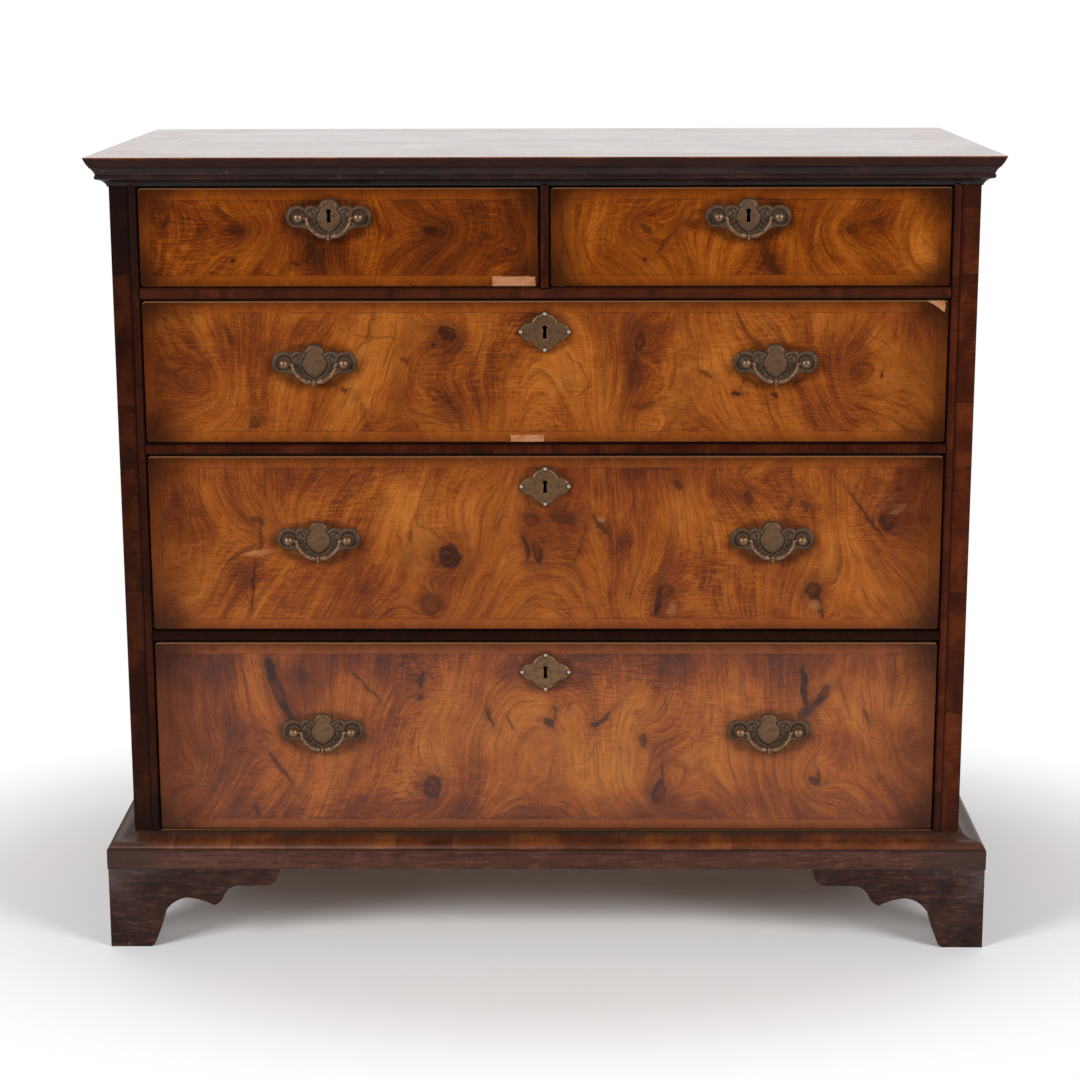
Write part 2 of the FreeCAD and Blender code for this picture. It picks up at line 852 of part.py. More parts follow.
def drawer_sides(drawer):
    """Both sides of a drawer, before the grooves for the bottom."""
    right = drawer.x_high - drawer_side_thickness
    return [drawer_side(drawer, x) for x in (drawer.x_low, right)]


def make_drawer_frame(drawer):
    """The sides and the back of a drawer, dovetailed together."""
    sides = drawer_sides(drawer)
    back = block(
        (drawer.x_low, drawer_back_y - drawer_back_thickness, drawer.bottom_top_z),
        (drawer.x_high, drawer_back_y, drawer.back_top_z),
    )
    bottom = drawer_bottom_board(drawer)
    return group([side.cut(bottom) for side in sides] + [back.cut(sides)])


def make_drawer_front(drawer):
    """A drawer front, with dovetail sockets, a groove, the lock's recess and the drilled holes."""
    cutters = drawer_sides(drawer) + [drawer_bottom_board(drawer), lock_case(drawer)]
    cutters.append(keyhole(drawer, front_y, drawer_front_back_y - lock_depth))
    cutters += post_holes(drawer, front_y, drawer_front_back_y)
    cutters += lock_nail_holes(drawer)
    if not drawer.key_in_plate:
        cutters += pin_holes(drawer)
    front = rounded_front(drawer)
    for cutter in cutters:
        front = front.cut(cutter)
    return front


def make_guides(drawers):
    """The guide strips beside the drawers, on both sides of the carcase."""
    strips = []
    for z_low in sorted({drawer.opening_z for drawer in drawers}):
        right = block(
            (opening_half, rail_front_y, z_low),
            (inner_half, dustboard_back_y, z_low + guide_height),
        )
        strips += [mirrored(right), right]
    return strips


def make_stops(drawer):
    """Two stop blocks that a drawer front's inner face meets when the drawer is shut."""
    middle = (drawer.x_low + drawer.x_high) / 2
    offset = stop_place_share * (drawer.x_high - drawer.x_low) / 2
    y_low = drawer_front_back_y + stop_clearance
    stops = []
    for x in (middle - offset, middle + offset):
        low = (x - stop_width / 2, y_low, drawer.opening_z)
        high = (x + stop_width / 2, y_low + stop_length, drawer.opening_z + stop_height)
        stops.append(block(low, high))
    return stops


def make_carcase(drawers):
    """Every fixed node of the carcase, by name."""
    sub_top = make_sub_top()
    bottom = make_bottom_board()
    rails = [make_rail(z) for z in rail_levels]
    dustboards = [make_dustboard(z) for z in rail_levels]
    partition = make_partition()
    housed = [sub_top, bottom] + rails + dustboards
    side = make_side(housed)
    facing = make_facing([sub_top, bottom])
    mortises = [bolt_mortise(drawer) for drawer in drawers]
    bead = upright_bead(opening_half, inner_half, base_top_z, sub_top_z)
    half = partition_thickness / 2
    beads = [rail_bead(z).cut(mortises) for z in rail_levels]
    beads.append(upright_bead(-half, half, short_z, sub_top_z))
    front_foot = make_front_foot()
    rear_foot = make_rear_foot()
    guides = make_guides(drawers)
    for drawer in drawers:
        guides += make_stops(drawer)
    return {
        "top_board": make_top_board(),
        "cornice_moulding": make_cornice(),
        "sub_top": sub_top.cut([partition] + mortises),
        "side_left": mirrored(side),
        "side_right": side,
        "bottom_board": bottom,
        "back_boards": group(make_back_boards()),
        "front_facings": group([mirrored(facing), facing, mirrored(bead), bead] + beads),
        "drawer_rails": group([rail.cut(mortises) for rail in rails]),
        "dustboards": group(dustboards),
        "partition": partition,
        "drawer_guides": group(guides),
        "base_moulding": make_base_moulding(),
        "foot_front_left": mirrored(front_foot),
        "foot_front_right": front_foot,
        "foot_rear_left": mirrored(rear_foot),
        "foot_rear_right": rear_foot,
    }


def make_drawer(drawer):
    """Every node of one drawer, by name."""
    nodes = {
        "front": make_drawer_front(drawer),
        "frame": make_drawer_frame(drawer),
        "bottom": make_drawer_bottom(drawer),
        "plates": make_plates(drawer),
        "posts": make_posts(drawer),
        "lock": make_lock(drawer),
        "bolt": make_bolt(drawer),
    }
    if len(drawer.handle_xs) == 1:
        nodes["bail"] = make_bail(drawer.handle_xs[0], drawer.handle_z)
    else:
        for word, x in zip(("left", "right"), drawer.handle_xs):
            nodes["bail_" + word] = make_bail(x, drawer.handle_z)
    return {drawer.name + "_" + key: shape for key, shape in nodes.items()}


def long_drawer(name, z_low, height, tails, handle_share):
    """A drawer across the whole width, with two handles and a keyhole between them."""
    half = opening_half
    handles = [-long_handle_offset, long_handle_offset]
    return Drawer(name, -half, half, z_low, height, tails, handles, handle_share, 0, long_key_drop)


def short_drawer(name, x_low, x_high, handle_offset):
    """A drawer of the upper pair, with its keyhole in the plate of its one handle."""
    x = (x_low + x_high) / 2 - handle_offset
    height = short_front_height
    return Drawer(name, x_low, x_high, short_z, height, 2, [x], short_handle_share, x, short_key_drop)


def list_drawers():
    """The five drawers, from the upper pair down."""
    half = partition_thickness / 2
    return [
        short_drawer("drawer_short_left", -opening_half, -half, left_handle_offset),
        short_drawer("drawer_short_right", half, opening_half, right_handle_offset),
        long_drawer("drawer_long_upper", upper_z, upper_front_height, 3, upper_handle_share),
        long_drawer("drawer_long_middle", middle_z, middle_front_height, 4, middle_handle_share),
        long_drawer("drawer_long_lower", lower_z, lower_front_height, 4, lower_handle_share),
    ]


def main():
    """Make every node and write it to its own file."""
    drawers = list_drawers()
    nodes = make_carcase(drawers)
    for drawer in drawers:
        nodes.update(make_drawer(drawer))
    os.makedirs("parts", exist_ok=True)
    for name, shape in nodes.items():
        shape.exportStep("parts/" + name + ".step")


main()
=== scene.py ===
"""Dresses a walnut chest of drawers around its CAD frame: veneers, mouldings, linings, brasses and locks."""

import math
import random

import bmesh
import bpy
import numpy as np
from mathutils import Matrix, Vector
from mathutils.geometry import delaunay_2d_cdt


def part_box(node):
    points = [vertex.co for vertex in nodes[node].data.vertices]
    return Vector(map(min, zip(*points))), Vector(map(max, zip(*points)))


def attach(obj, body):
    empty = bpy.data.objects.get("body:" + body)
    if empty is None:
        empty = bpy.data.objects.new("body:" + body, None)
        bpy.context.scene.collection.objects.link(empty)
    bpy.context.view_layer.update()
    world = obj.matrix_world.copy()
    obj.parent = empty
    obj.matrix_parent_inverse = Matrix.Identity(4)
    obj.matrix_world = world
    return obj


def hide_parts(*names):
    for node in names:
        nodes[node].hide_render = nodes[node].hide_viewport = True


bl_info = {
    "name": "Walnut chest of drawers",
    "version": (1, 0, 0),
    "blender": (4, 5, 0),
    "location": "3D View > Sidebar > Chest",
    "description": "Dresses the chest's veneers, mouldings, linings, brasses and locks",
    "category": "Object",
}

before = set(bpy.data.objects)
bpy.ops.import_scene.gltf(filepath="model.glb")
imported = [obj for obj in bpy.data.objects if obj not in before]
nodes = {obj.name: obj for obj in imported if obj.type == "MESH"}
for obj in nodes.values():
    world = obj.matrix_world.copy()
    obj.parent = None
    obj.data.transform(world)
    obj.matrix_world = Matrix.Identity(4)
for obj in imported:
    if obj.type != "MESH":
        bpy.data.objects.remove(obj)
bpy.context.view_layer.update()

MM = 0.001
LONG_DRAWERS = ("drawer_long_upper", "drawer_long_middle", "drawer_long_lower")
SHORT_DRAWERS = ("drawer_short_left", "drawer_short_right")
DRAWERS = SHORT_DRAWERS + LONG_DRAWERS
FEET = ("foot_front_left", "foot_front_right", "foot_rear_left", "foot_rear_right")


def box_mm(name):
    """The low and the high corner of a CAD node's box, in millimetres."""
    return [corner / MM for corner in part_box(name)]


# Planes and places of the frame, in millimetres.
front_low, front_high = box_mm("drawer_long_middle_front")
back_low, back_high = box_mm("back_boards")
side_low, side_high = box_mm("side_right")
top_low, top_high = box_mm("top_board")
FACE_Y = front_low.y
HALF_WIDTH = side_high.x
OPENING_HALF = front_high.x + 1.2
CORNICE_LOW = box_mm("cornice_moulding")[0].z
BASE_HIGH = box_mm("base_moulding")[1].z
SLOPE_LOW = BASE_HIGH - 15.0
DRAWER_BACK = box_mm("drawer_long_middle_frame")[1].y
BACK_BOARDS = 5
BOARD_WIDTH = (back_high.x - back_low.x) / BACK_BOARDS

# How far an escutcheon's middle is under the top of its front and a bail's pivot before the fronts, and the
# half width and half height of the oval of grime and painted shadow round a handle and round an escutcheon,
# in millimetres.
KEY_DROP = 33.5
BAIL_STAND = 10.0
HANDLE_GRIME_AND_SHADOW = (46.0, 23.0)
KEY_GRIME_AND_SHADOW = (29.0, 23.0)

# The figure of each drawer front, in millimetres on the chest's front. A swirl is a place that the rings run
# round: x, z, radius across, radius up, tilt in degrees and how many millimetres of ring it adds. A tone is
# an oval that is darker or paler: the same, and by how much. A mark is a knot, stain or crack: the same, and
# how dark it is, or below 0 how pale a filling.
FIGURES = {
    "drawer_short_left": {
        "swirls": (
            (-335, 812, 46, 30, 0, 52), (-119, 812, 50, 32, 0, 56), (-232, 752, 70, 40, 0, 34),
            (-425, 780, 40, 60, 0, 26), (-30, 790, 30, 50, 0, 30),
        ),
        "tones": (
            (-225, 806, 300, 120, 0, -0.24), (-60, 800, 80, 90, 0, -0.12), (-335, 812, 40, 24, 0, -0.14),
            (-119, 812, 44, 24, 0, -0.12), (-256, 786, 26, 26, 0, -0.16), (-190, 800, 60, 40, 0, 0.08),
        ),
        "marks": (
            (-335, 814, 9, 4, 20, 0.42), (-119, 813, 13, 5, 12, 0.5), (-256, 790, 5, 12, 24, 0.55),
            (-338, 781, 2, 2, 0, 0.8), (-410, 824, 3, 9, 24, 0.45), (-270, 777, 6, 2, 0, 0.5),
        ),
    },
    "drawer_short_right": {
        "swirls": (
            (109, 815, 42, 34, 0, 50), (332, 815, 48, 34, 0, 56), (222, 748, 80, 52, 0, 60),
            (60, 790, 30, 46, 0, 26), (410, 790, 40, 60, 0, 30),
        ),
        "tones": (
            (225, 806, 300, 120, 0, -0.1), (70, 800, 40, 44, 0, 0.05), (109, 815, 30, 22, 0, -0.12),
            (332, 815, 34, 24, 0, -0.12), (238, 784, 26, 34, -20, -0.2), (190, 790, 40, 40, 0, 0.06),
            (290, 780, 40, 40, 0, 0.08), (380, 800, 70, 60, 0, 0.08),
        ),
        "marks": (
            (109, 816, 8, 4, 35, 0.5), (332, 816, 6, 5, 0, 0.4), (240, 786, 5, 17, -24, 0.42),
            (109, 783, 2, 2, 0, 0.9), (130, 800, 2, 13, 40, 0.42), (158, 820, 5, 3, 0, 0.4),
            (252, 770, 3, 18, -20, 0.3),
        ),
    },
    "drawer_long_upper": {
        "swirls": (
            (-376, 648, 58, 62, 0, 74), (-317, 602, 22, 18, 0, 26), (-106, 702, 26, 20, 0, 38),
            (-112, 590, 62, 62, 0, 78), (-250, 735, 60, 50, 0, 36), (103, 692, 20, 28, 0, 36),
            (103, 596, 66, 66, 0, 84), (340, 655, 54, 60, 0, 70), (240, 735, 60, 50, 0, 34),
            (0, 740, 70, 60, 0, 40),
        ),
        "tones": (
            (-430, 650, 60, 110, 0, -0.06), (400, 640, 60, 110, 0, 0.07), (-330, 690, 44, 40, -20, -0.18),
            (-318, 640, 24, 50, 0, -0.22), (-400, 660, 30, 60, 0, 0.05), (-110, 690, 36, 26, 0, -0.16),
            (-190, 650, 44, 70, 0, 0.1), (-112, 628, 50, 30, 30, -0.08), (20, 640, 60, 70, 0, 0.12),
            (103, 690, 30, 40, 0, -0.11), (98, 650, 26, 40, 0, -0.08), (160, 690, 44, 40, 0, 0.06),
            (210, 690, 30, 50, 0, -0.12), (330, 680, 40, 50, -30, -0.13), (318, 620, 40, 30, 0, -0.14),
            (372, 655, 20, 40, 0, 0.22), (20, 640, 70, 60, 0, 0.1), (250, 610, 50, 30, 0, 0.05),
        ),
        "marks": (
            (-106, 702, 10, 6.5, 22, 0.8), (-121, 690, 3, 2, 0, 0.7), (-317, 604, 8, 6, 0, 0.4),
            (-153, 671, 1.6, 7, -40, 0.5), (-100, 690, 12, 10, 0, 0.3), (-107, 618, 20, 14, 30, 0.22),
            (103, 692, 5, 10, 8, 0.72), (96, 712, 6, 9, 0, 0.28), (97, 656, 6, 20, 4, 0.26),
            (210, 634, 4.5, 2, 8, 0.72), (252, 632, 3.4, 2, 0, 0.66), (176, 657, 7, 2.6, 24, 0.5),
            (337, 664, 26, 30, -30, 0.13), (-220, 640, 4, 2, 0, 0.6), (108, 622, 14, 3, -12, 0.36),
            (369, 655, 2, 3, 0, 0.7), (-345, 700, 3, 14, -20, 0.34), (-300, 688, 14, 5, -14, 0.2),
        ),
    },
    "drawer_long_middle": {
        "swirls": (
            (-106, 452, 30, 30, 0, 46), (-127, 392, 44, 40, 0, 52), (-322, 470, 52, 44, 0, 58),
            (-390, 420, 40, 70, 0, 36), (0, 470, 40, 40, 0, 44), (132, 388, 62, 60, 0, 80),
            (300, 384, 56, 60, 0, 72), (377, 492, 34, 30, 40, 42), (225, 540, 70, 46, 0, 40),
            (-230, 556, 80, 50, 0, 40), (-60, 560, 60, 60, 0, 40),
        ),
        "tones": (
            (0, 572, 520, 42, 0, -0.3), (-400, 500, 50, 60, 0, -0.1), (-370, 420, 40, 60, 0, 0.04),
            (-335, 430, 30, 14, 0, -0.22), (-160, 500, 60, 70, 20, 0.14), (-106, 440, 30, 40, 0, -0.2),
            (-70, 420, 40, 40, 0, 0.1), (-250, 420, 60, 40, 0, -0.08), (-5, 480, 40, 40, 0, -0.1),
            (90, 430, 80, 60, 20, -0.14), (140, 420, 50, 46, 0, -0.16), (190, 480, 60, 40, -30, 0.1),
            (225, 518, 60, 26, 0, -0.16), (300, 400, 40, 36, 0, -0.1), (330, 470, 40, 70, 30, 0.09),
            (400, 500, 44, 44, 0, -0.18), (230, 430, 30, 60, 0, 0.06), (-260, 545, 120, 20, 0, -0.12),
        ),
        "marks": (
            (-106, 452, 12, 13, 0, 0.86), (-127, 397, 12, 12, 20, 0.46), (-326, 418, 1.5, 26, 8, 0.62),
            (-320, 493, 9, 4, 10, 0.5), (-316, 474, 1.6, 18, 0, 0.46), (-9, 457, 5, 12, -14, 0.82),
            (-22, 462, 3, 15, -10, 0.7), (-15, 494, 9, 8, 20, 0.58), (20, 497, 14, 8, 20, 0.38),
            (-2, 476, 24, 22, 0, 0.12), (62, 487, 3, 15, -40, 0.6), (66, 492, 8, 4, 40, 0.34),
            (126, 402, 3.4, 17, 8, 0.76), (134, 413, 9, 7, 0, 0.6), (299, 413, 8, 9, 0, 0.74),
            (306, 395, 3, 16, -14, 0.62), (377, 489, 10, 7, 40, 0.66), (388, 500, 18, 18, 0, 0.26),
            (353, 502, 1.6, 32, -36, 0.56), (147, 533, 4, 6, -30, 0.66), (225, 518, 5, 8, 0, 0.5),
            (272, 512, 3, 8, 20, 0.44), (286, 508, 3, 8, -16, 0.44), (392, 527, 5, 4, 20, 0.7),
            (424, 495, 8, 5, 0, 0.5), (-340, 455, 2, 20, 60, 0.3), (40, 466, 2, 22, 20, 0.3),
            (-318, 457, 17, 3.4, -12, -0.42), (62, 495, 5, 3, 0, -0.36), (141, 392, 5, 9, 20, -0.22),
            (300, 397, 7, 5, 20, -0.26), (392, 506, 11, 4, -30, -0.2),
        ),
    },
    "drawer_long_lower": {
        "swirls": (
            (-128, 180, 36, 36, 0, 52), (-130, 300, 30, 34, 0, 32), (-308, 236, 52, 70, 0, 50),
            (129, 186, 56, 60, 0, 74), (110, 240, 28, 30, 0, 26), (302, 188, 44, 46, 0, 60),
            (300, 300, 40, 50, 0, 38), (0, 330, 60, 70, 0, 50), (-400, 200, 50, 70, 0, 36),
            (410, 240, 40, 80, 0, 36), (0, 170, 60, 50, 0, 36),
        ),
        "tones": (
            (-420, 240, 120, 170, 0, -0.18), (0, 360, 520, 62, 0, -0.46), (0, 126, 520, 50, 0, -0.32),
            (-380, 300, 60, 50, 0, -0.1), (-270, 300, 40, 30, 0, -0.16), (-340, 260, 40, 60, 0, 0.1),
            (-350, 190, 20, 60, 0, -0.14), (-240, 200, 60, 60, 0, -0.06), (-130, 230, 60, 60, 0, 0.14),
            (-128, 180, 24, 26, 0, -0.1), (-50, 280, 50, 60, 30, 0.08), (50, 220, 50, 70, 0, 0.1),
            (129, 200, 50, 50, 0, -0.1), (180, 270, 60, 80, 40, 0.1), (200, 320, 80, 24, 0, -0.08),
            (340, 300, 30, 60, 0, 0.1), (302, 200, 40, 40, 0, 0.06), (50, 230, 180, 70, 0, 0.12),
        ),
        "marks": (
            (-303, 300, 5.5, 31, -18, 0.86), (-309, 322, 4.5, 13, -14, 0.72),
            (-292, 272, 3, 14, -30, 0.66), (-271, 312, 5, 6, 20, 0.52), (-268, 296, 15, 12, 20, 0.24),
            (-140, 310, 4, 9, 14, 0.7), (-141, 288, 3, 4, 0, 0.62), (-302, 206, 2.2, 22, -34, 0.54),
            (-128, 182, 9, 14, 10, 0.72), (-330, 154, 2.6, 8, -20, 0.72), (-63, 265, 2.4, 12, -30, 0.62),
            (4, 259, 6, 4, 30, 0.72), (10, 270, 2, 8, 0, 0.5), (-204, 304, 1.2, 26, -42, 0.54),
            (291, 300, 4, 26, -8, 0.76), (291, 270, 6, 8, 0, 0.62), (312, 292, 5, 12, 30, 0.7),
            (302, 279, 3, 14, 40, 0.5), (129, 176, 7, 14, 8, 0.82), (132, 198, 1.6, 12, 0, 0.6),
            (110, 238, 4, 7, 0, 0.56), (64, 262, 2.4, 13, 42, 0.62), (56, 256, 4, 2.6, 0, 0.6),
            (304, 190, 7, 4, 20, 0.62), (308, 197, 2, 9, -10, 0.5), (362, 268, 2, 9, -20, 0.56),
            (-40, 258, 1.6, 8, -30, 0.46), (6, 204, 1.4, 15, 8, 0.3),
        ),
    },
}
TONE_DEPTH = 0.62
MARK_SPREAD = 1.12
KNOT_RADIUS = 4.5

# The swirls of the top, over one of its four matched leaves, and those of the sides, about a side's middle.
TOP_SWIRLS = (
    (230, 320, 130, 90, 20, 130), (380, 440, 80, 60, 0, 76),
    (60, 470, 100, 60, 0, 70), (420, 310, 60, 50, 0, 40),
)
SIDE_SWIRLS = (
    (-120, 760, 110, 120, 0, 80), (130, 300, 120, 150, 0, 90),
    (-90, 250, 70, 90, 0, 40), (100, 640, 70, 100, 0, 40),
)

# How hazy each front is with dust in its old polish and a painted sheen of reflected light, how much of the
# light above its polish throws back, and from how far in its dirt and painted shade creep towards its ends,
# in millimetres.
POLISH = {
    "drawer_short_left": (0.0, 0.13, 40.0),
    "drawer_short_right": (0.0, 0.13, 40.0),
    "drawer_long_upper": (0.012, 0.13, 84.0),
    "drawer_long_middle": (0.017, 0.14, 84.0),
    "drawer_long_lower": (0.052, 0.15, 84.0),
}

# Pale new pieces let into the crossband, as x and z of the low and of the high corner in millimetres, and the
# front whose upper right corner is chipped.
REPAIRS = {"drawer_short_left": (-57, 753, -10, 764), "drawer_long_upper": (-38, 581, -1, 589.5)}
CHIPPED = "drawer_long_upper"


def length(name, description, default, least):
    """A setting for a length, in metres."""
    return bpy.props.FloatProperty(
        name=name, description=description, default=default, min=least, unit="LENGTH")


def tinted(name, description, *default):
    """A setting for a colour."""
    return bpy.props.FloatVectorProperty(
        name=name, description=description, default=default, min=0, max=1, size=3, subtype="COLOR")


class Sizes(bpy.types.PropertyGroup):
    """Sizes that the dressing of the chest is made to."""

    band_width: length("Crossband width", "Width of the crossband round each drawer front", 0.0125, 0.004)
    top_band_width: length("Top crossband width", "Width of the crossband round the top", 0.052, 0.01)
    arris: length("Arris", "How far the edges of the woodwork are worn round", 0.0008, 0.0001)
    relief_step: length("Relief step", "Spacing of the points that the brasses are cast with", 0.0007, 0.0003)
    nail_head: length("Nail head", "Radius of the wrought nail heads in the back", 0.0042, 0.001)


class Colours(bpy.types.PropertyGroup):
    """Colours of the chest's woods and metals."""

    # Also laid along the fronts' edges as wear and a painted highlight.
    veneer_pale: tinted("Veneer, pale", "Pale flame of the walnut", 0.43, 0.134, 0.017)
    veneer_gold: tinted("Veneer, gold", "Body colour of the walnut", 0.290, 0.070, 0.0052)
    veneer_brown: tinted("Veneer, brown", "Brown bands of the walnut", 0.165, 0.032, 0.0032)
    veneer_deep: tinted("Veneer, deep", "Deep brown smears of the walnut", 0.074, 0.0155, 0.0038)
    # Also laid round the brasses as grime and painted shadow.
    veneer_dark: tinted("Veneer, dark", "Knots and dirt in the walnut", 0.022, 0.0065, 0.0030)
    moulding_red: tinted("Moulding, red", "Dark parts of the top's crossband", 0.062, 0.0125, 0.0045)
    # Also laid in the base moulding's crease as dirt and painted shade.
    moulding_black: tinted("Moulding, black", "Old polish and dirt on the mouldings", 0.0085, 0.0038, 0.0032)
    bare_wood: tinted("New wood", "Pale pieces let into the crossband", 0.40, 0.165, 0.072)
    oak: tinted("Oak", "Drawer linings", 0.37, 0.205, 0.090)
    pine: tinted("Pine", "Back boards, rails and dustboards", 0.36, 0.190, 0.078)
    brass_worn: tinted("Brass, worn", "Rubbed high points of the brasses", 0.47, 0.345, 0.24)
    brass_dull: tinted("Brass, dull", "Body colour of the aged brass", 0.262, 0.139, 0.070)
    brass_dirt: tinted("Brass, dirt", "Dirt in the hollows of the brasses", 0.020, 0.013, 0.009)
    iron: tinted("Iron", "Locks, bolts and nails", 0.06, 0.05, 0.043)


def sizes():
    return bpy.context.scene.chest_sizes


def paint(value):
    """A colour for a socket, from the name of one of the chest's or from three parts. A wire stays a wire."""
    if isinstance(value, str):
        value = tuple(getattr(bpy.context.scene.chest_colours, value))
    return (*value, 1.0) if isinstance(value, tuple) else value


class Wire:
    """A value in a material's nodes. Sums written with it add Math nodes."""

    def __init__(self, finish, socket):
        self.finish = finish
        self.socket = socket

    def maths(self, operation, *others):
        return self.finish.node("ShaderNodeMath", {"operation": operation}, dict(enumerate((self, *others))))

    def most(self, other):
        return self.maths("MAXIMUM", other)

    def least(self, other):
        return self.maths("MINIMUM", other)

    def __add__(self, other):
        return self.maths("ADD", other)

    __radd__ = __add__

    def __sub__(self, other):
        return self.maths("SUBTRACT", other)

    def __rsub__(self, other):
        return self.finish.node("ShaderNodeMath", {"operation": "SUBTRACT"}, {0: other, 1: self})

    def __mul__(self, other):
        return self.maths("MULTIPLY", other)

    __rmul__ = __mul__

    def __truediv__(self, other):
        return self.maths("DIVIDE", other)

    def __neg__(self):
        return self.maths("MULTIPLY", -1.0)

    def __abs__(self):
        return self.maths("ABSOLUTE")

    def rise(self, low, high):
        """0 below low and 1 above high, smooth between; the other way round where low is the larger."""
        sockets = {"Value": self, "From Min": low, "From Max": high}
        return self.finish.node("ShaderNodeMapRange", {"interpolation_type": "SMOOTHSTEP"}, sockets)


class Finish:
    """A material by its name, or the world, built node by node."""

    def __init__(self, owner):
        self.owner = bpy.data.materials.new(owner) if isinstance(owner, str) else owner
        self.owner.use_nodes = True
        self.tree = self.owner.node_tree
        self.tree.nodes.clear()

    def node(self, kind, settings=None, sockets=None, out=0):
        """One node: its type, its settings, and its sockets' values or links. Gives the outputs asked for."""
        node = self.tree.nodes.new(kind)
        for key, value in (settings or {}).items():
            if key == "stops":
                for place, _ in value[1:-1]:
                    node.color_ramp.elements.new(place)
                for element, (place, tint) in zip(node.color_ramp.elements, value):
                    element.position = place
                    element.color = paint(tint)
            else:
                setattr(node, key, value)
        for key, value in (sockets or {}).items():
            if isinstance(value, Wire):
                self.tree.links.new(value.socket, node.inputs[key])
            else:
                node.inputs[key].default_value = value
        if isinstance(out, tuple):
            return tuple(Wire(self, node.outputs[key]) for key in out)
        return Wire(self, node.outputs[out])

    def mix(self, share, first, second):
        """One paint with a share of another over it."""
        sockets = {0: share, 6: paint(first), 7: paint(second)}
        return self.node("ShaderNodeMix", {"data_type": "RGBA"}, sockets, out=2)

    def over(self, tint, *coats):
        """A paint with coats laid over it in turn, each given by its share and its paint."""
        for share, coat in coats:
            tint = self.mix(share, tint, coat)
        return tint

    def vector(self, operation, *values):
        return self.node("ShaderNodeVectorMath", {"operation": operation}, dict(enumerate(values)))

    def length(self, vector):
        return self.node("ShaderNodeVectorMath", {"operation": "LENGTH"}, {0: vector}, out="Value")

    def point(self, x, y, z):
        return self.node("ShaderNodeCombineXYZ", None, {0: x, 1: y, 2: z})

    def split(self, vector):
        return self.node("ShaderNodeSeparateXYZ", None, {0: vector}, out=("X", "Y", "Z"))

    def place(self):
        """Where a point lies in its piece's frame, in millimetres. The CAD nodes share the chest's frame."""
        where = self.node("ShaderNodeTexCoord", out="Object")
        return self.vector("MULTIPLY", where, (1 / MM, 1 / MM, 1 / MM))

    def moved(self, vector, x, z):
        return self.vector("ADD", vector, (x, 0.0, z))

    def noise(self, vector, scale=1.0, detail=2.0, roughness=0.5, out=0):
        """Noise at a vector or at three coordinates; three scales stretch it."""
        if isinstance(vector, tuple):
            vector = self.point(*vector)
        if isinstance(scale, tuple):
            vector = self.vector("MULTIPLY", vector, scale)
            scale = 1.0
        sockets = {"Vector": vector, "Scale": scale, "Detail": detail, "Roughness": roughness}
        return self.node("ShaderNodeTexNoise", None, sockets, out=out)

    def picked(self, number):
        """A random share for each whole number."""
        return self.node("ShaderNodeTexWhiteNoise", {"noise_dimensions": "1D"}, {"W": number})

    def drifted(self, vector, scale, amount):
        """The place moved about by soft noise, so that what is drawn there wanders."""
        wander = self.vector("SUBTRACT", self.noise(vector, scale, out=1), (0.5, 0.5, 0.5))
        return self.vector("ADD", vector, self.vector("MULTIPLY", wander, (amount, amount, amount)))

    def reach(self, spot, x, z, radius_x, radius_z, tilt):
        """How far the spot is from a place, in radii of a tilted oval. Its depth counts for nothing."""
        sockets = {
            "Vector": spot, "Location": (x, 0, z), "Rotation": (0, math.radians(tilt), 0),
            "Scale": (radius_x, 1e6, radius_z),
        }
        return self.length(self.node("ShaderNodeMapping", {"vector_type": "TEXTURE"}, sockets))

    def surface(self, base, roughness, metallic=0.0, bump=0.0, bump_height=0.0002, coat=0.0, specular=0.5):
        """The shader itself, with its bump, and the material that comes of it."""
        heights = {"Height": bump, "Strength": 0.6, "Distance": bump_height}
        sockets = {
            "Base Color": base, "Roughness": roughness, "Metallic": metallic, "Coat Weight": coat,
            "Coat Roughness": 0.12, "Specular IOR Level": specular,
            "Normal": self.node("ShaderNodeBump", None, heights),
        }
        return self.end(self.node("ShaderNodeBsdfPrincipled", None, sockets))

    def end(self, shader, kind="ShaderNodeOutputMaterial"):
        """Shows a shader, and gives the material or the world that shows it."""
        self.node(kind, None, {"Surface": shader}, out=())
        return self.owner

    def seen(self):
        """1 for what is looked at straight, in a gloss or through glass, and 0 for the light that falls."""
        rays = self.node("ShaderNodeLightPath", out=("Is Camera Ray", "Is Glossy Ray", "Is Transmission Ray"))
        return rays[0].most(rays[1]).most(rays[2])


def start(name):
    """A new finish, a point's place in it and the three parts of that place."""
    f = Finish(name)
    place = f.place()
    return f, place, *f.split(place)


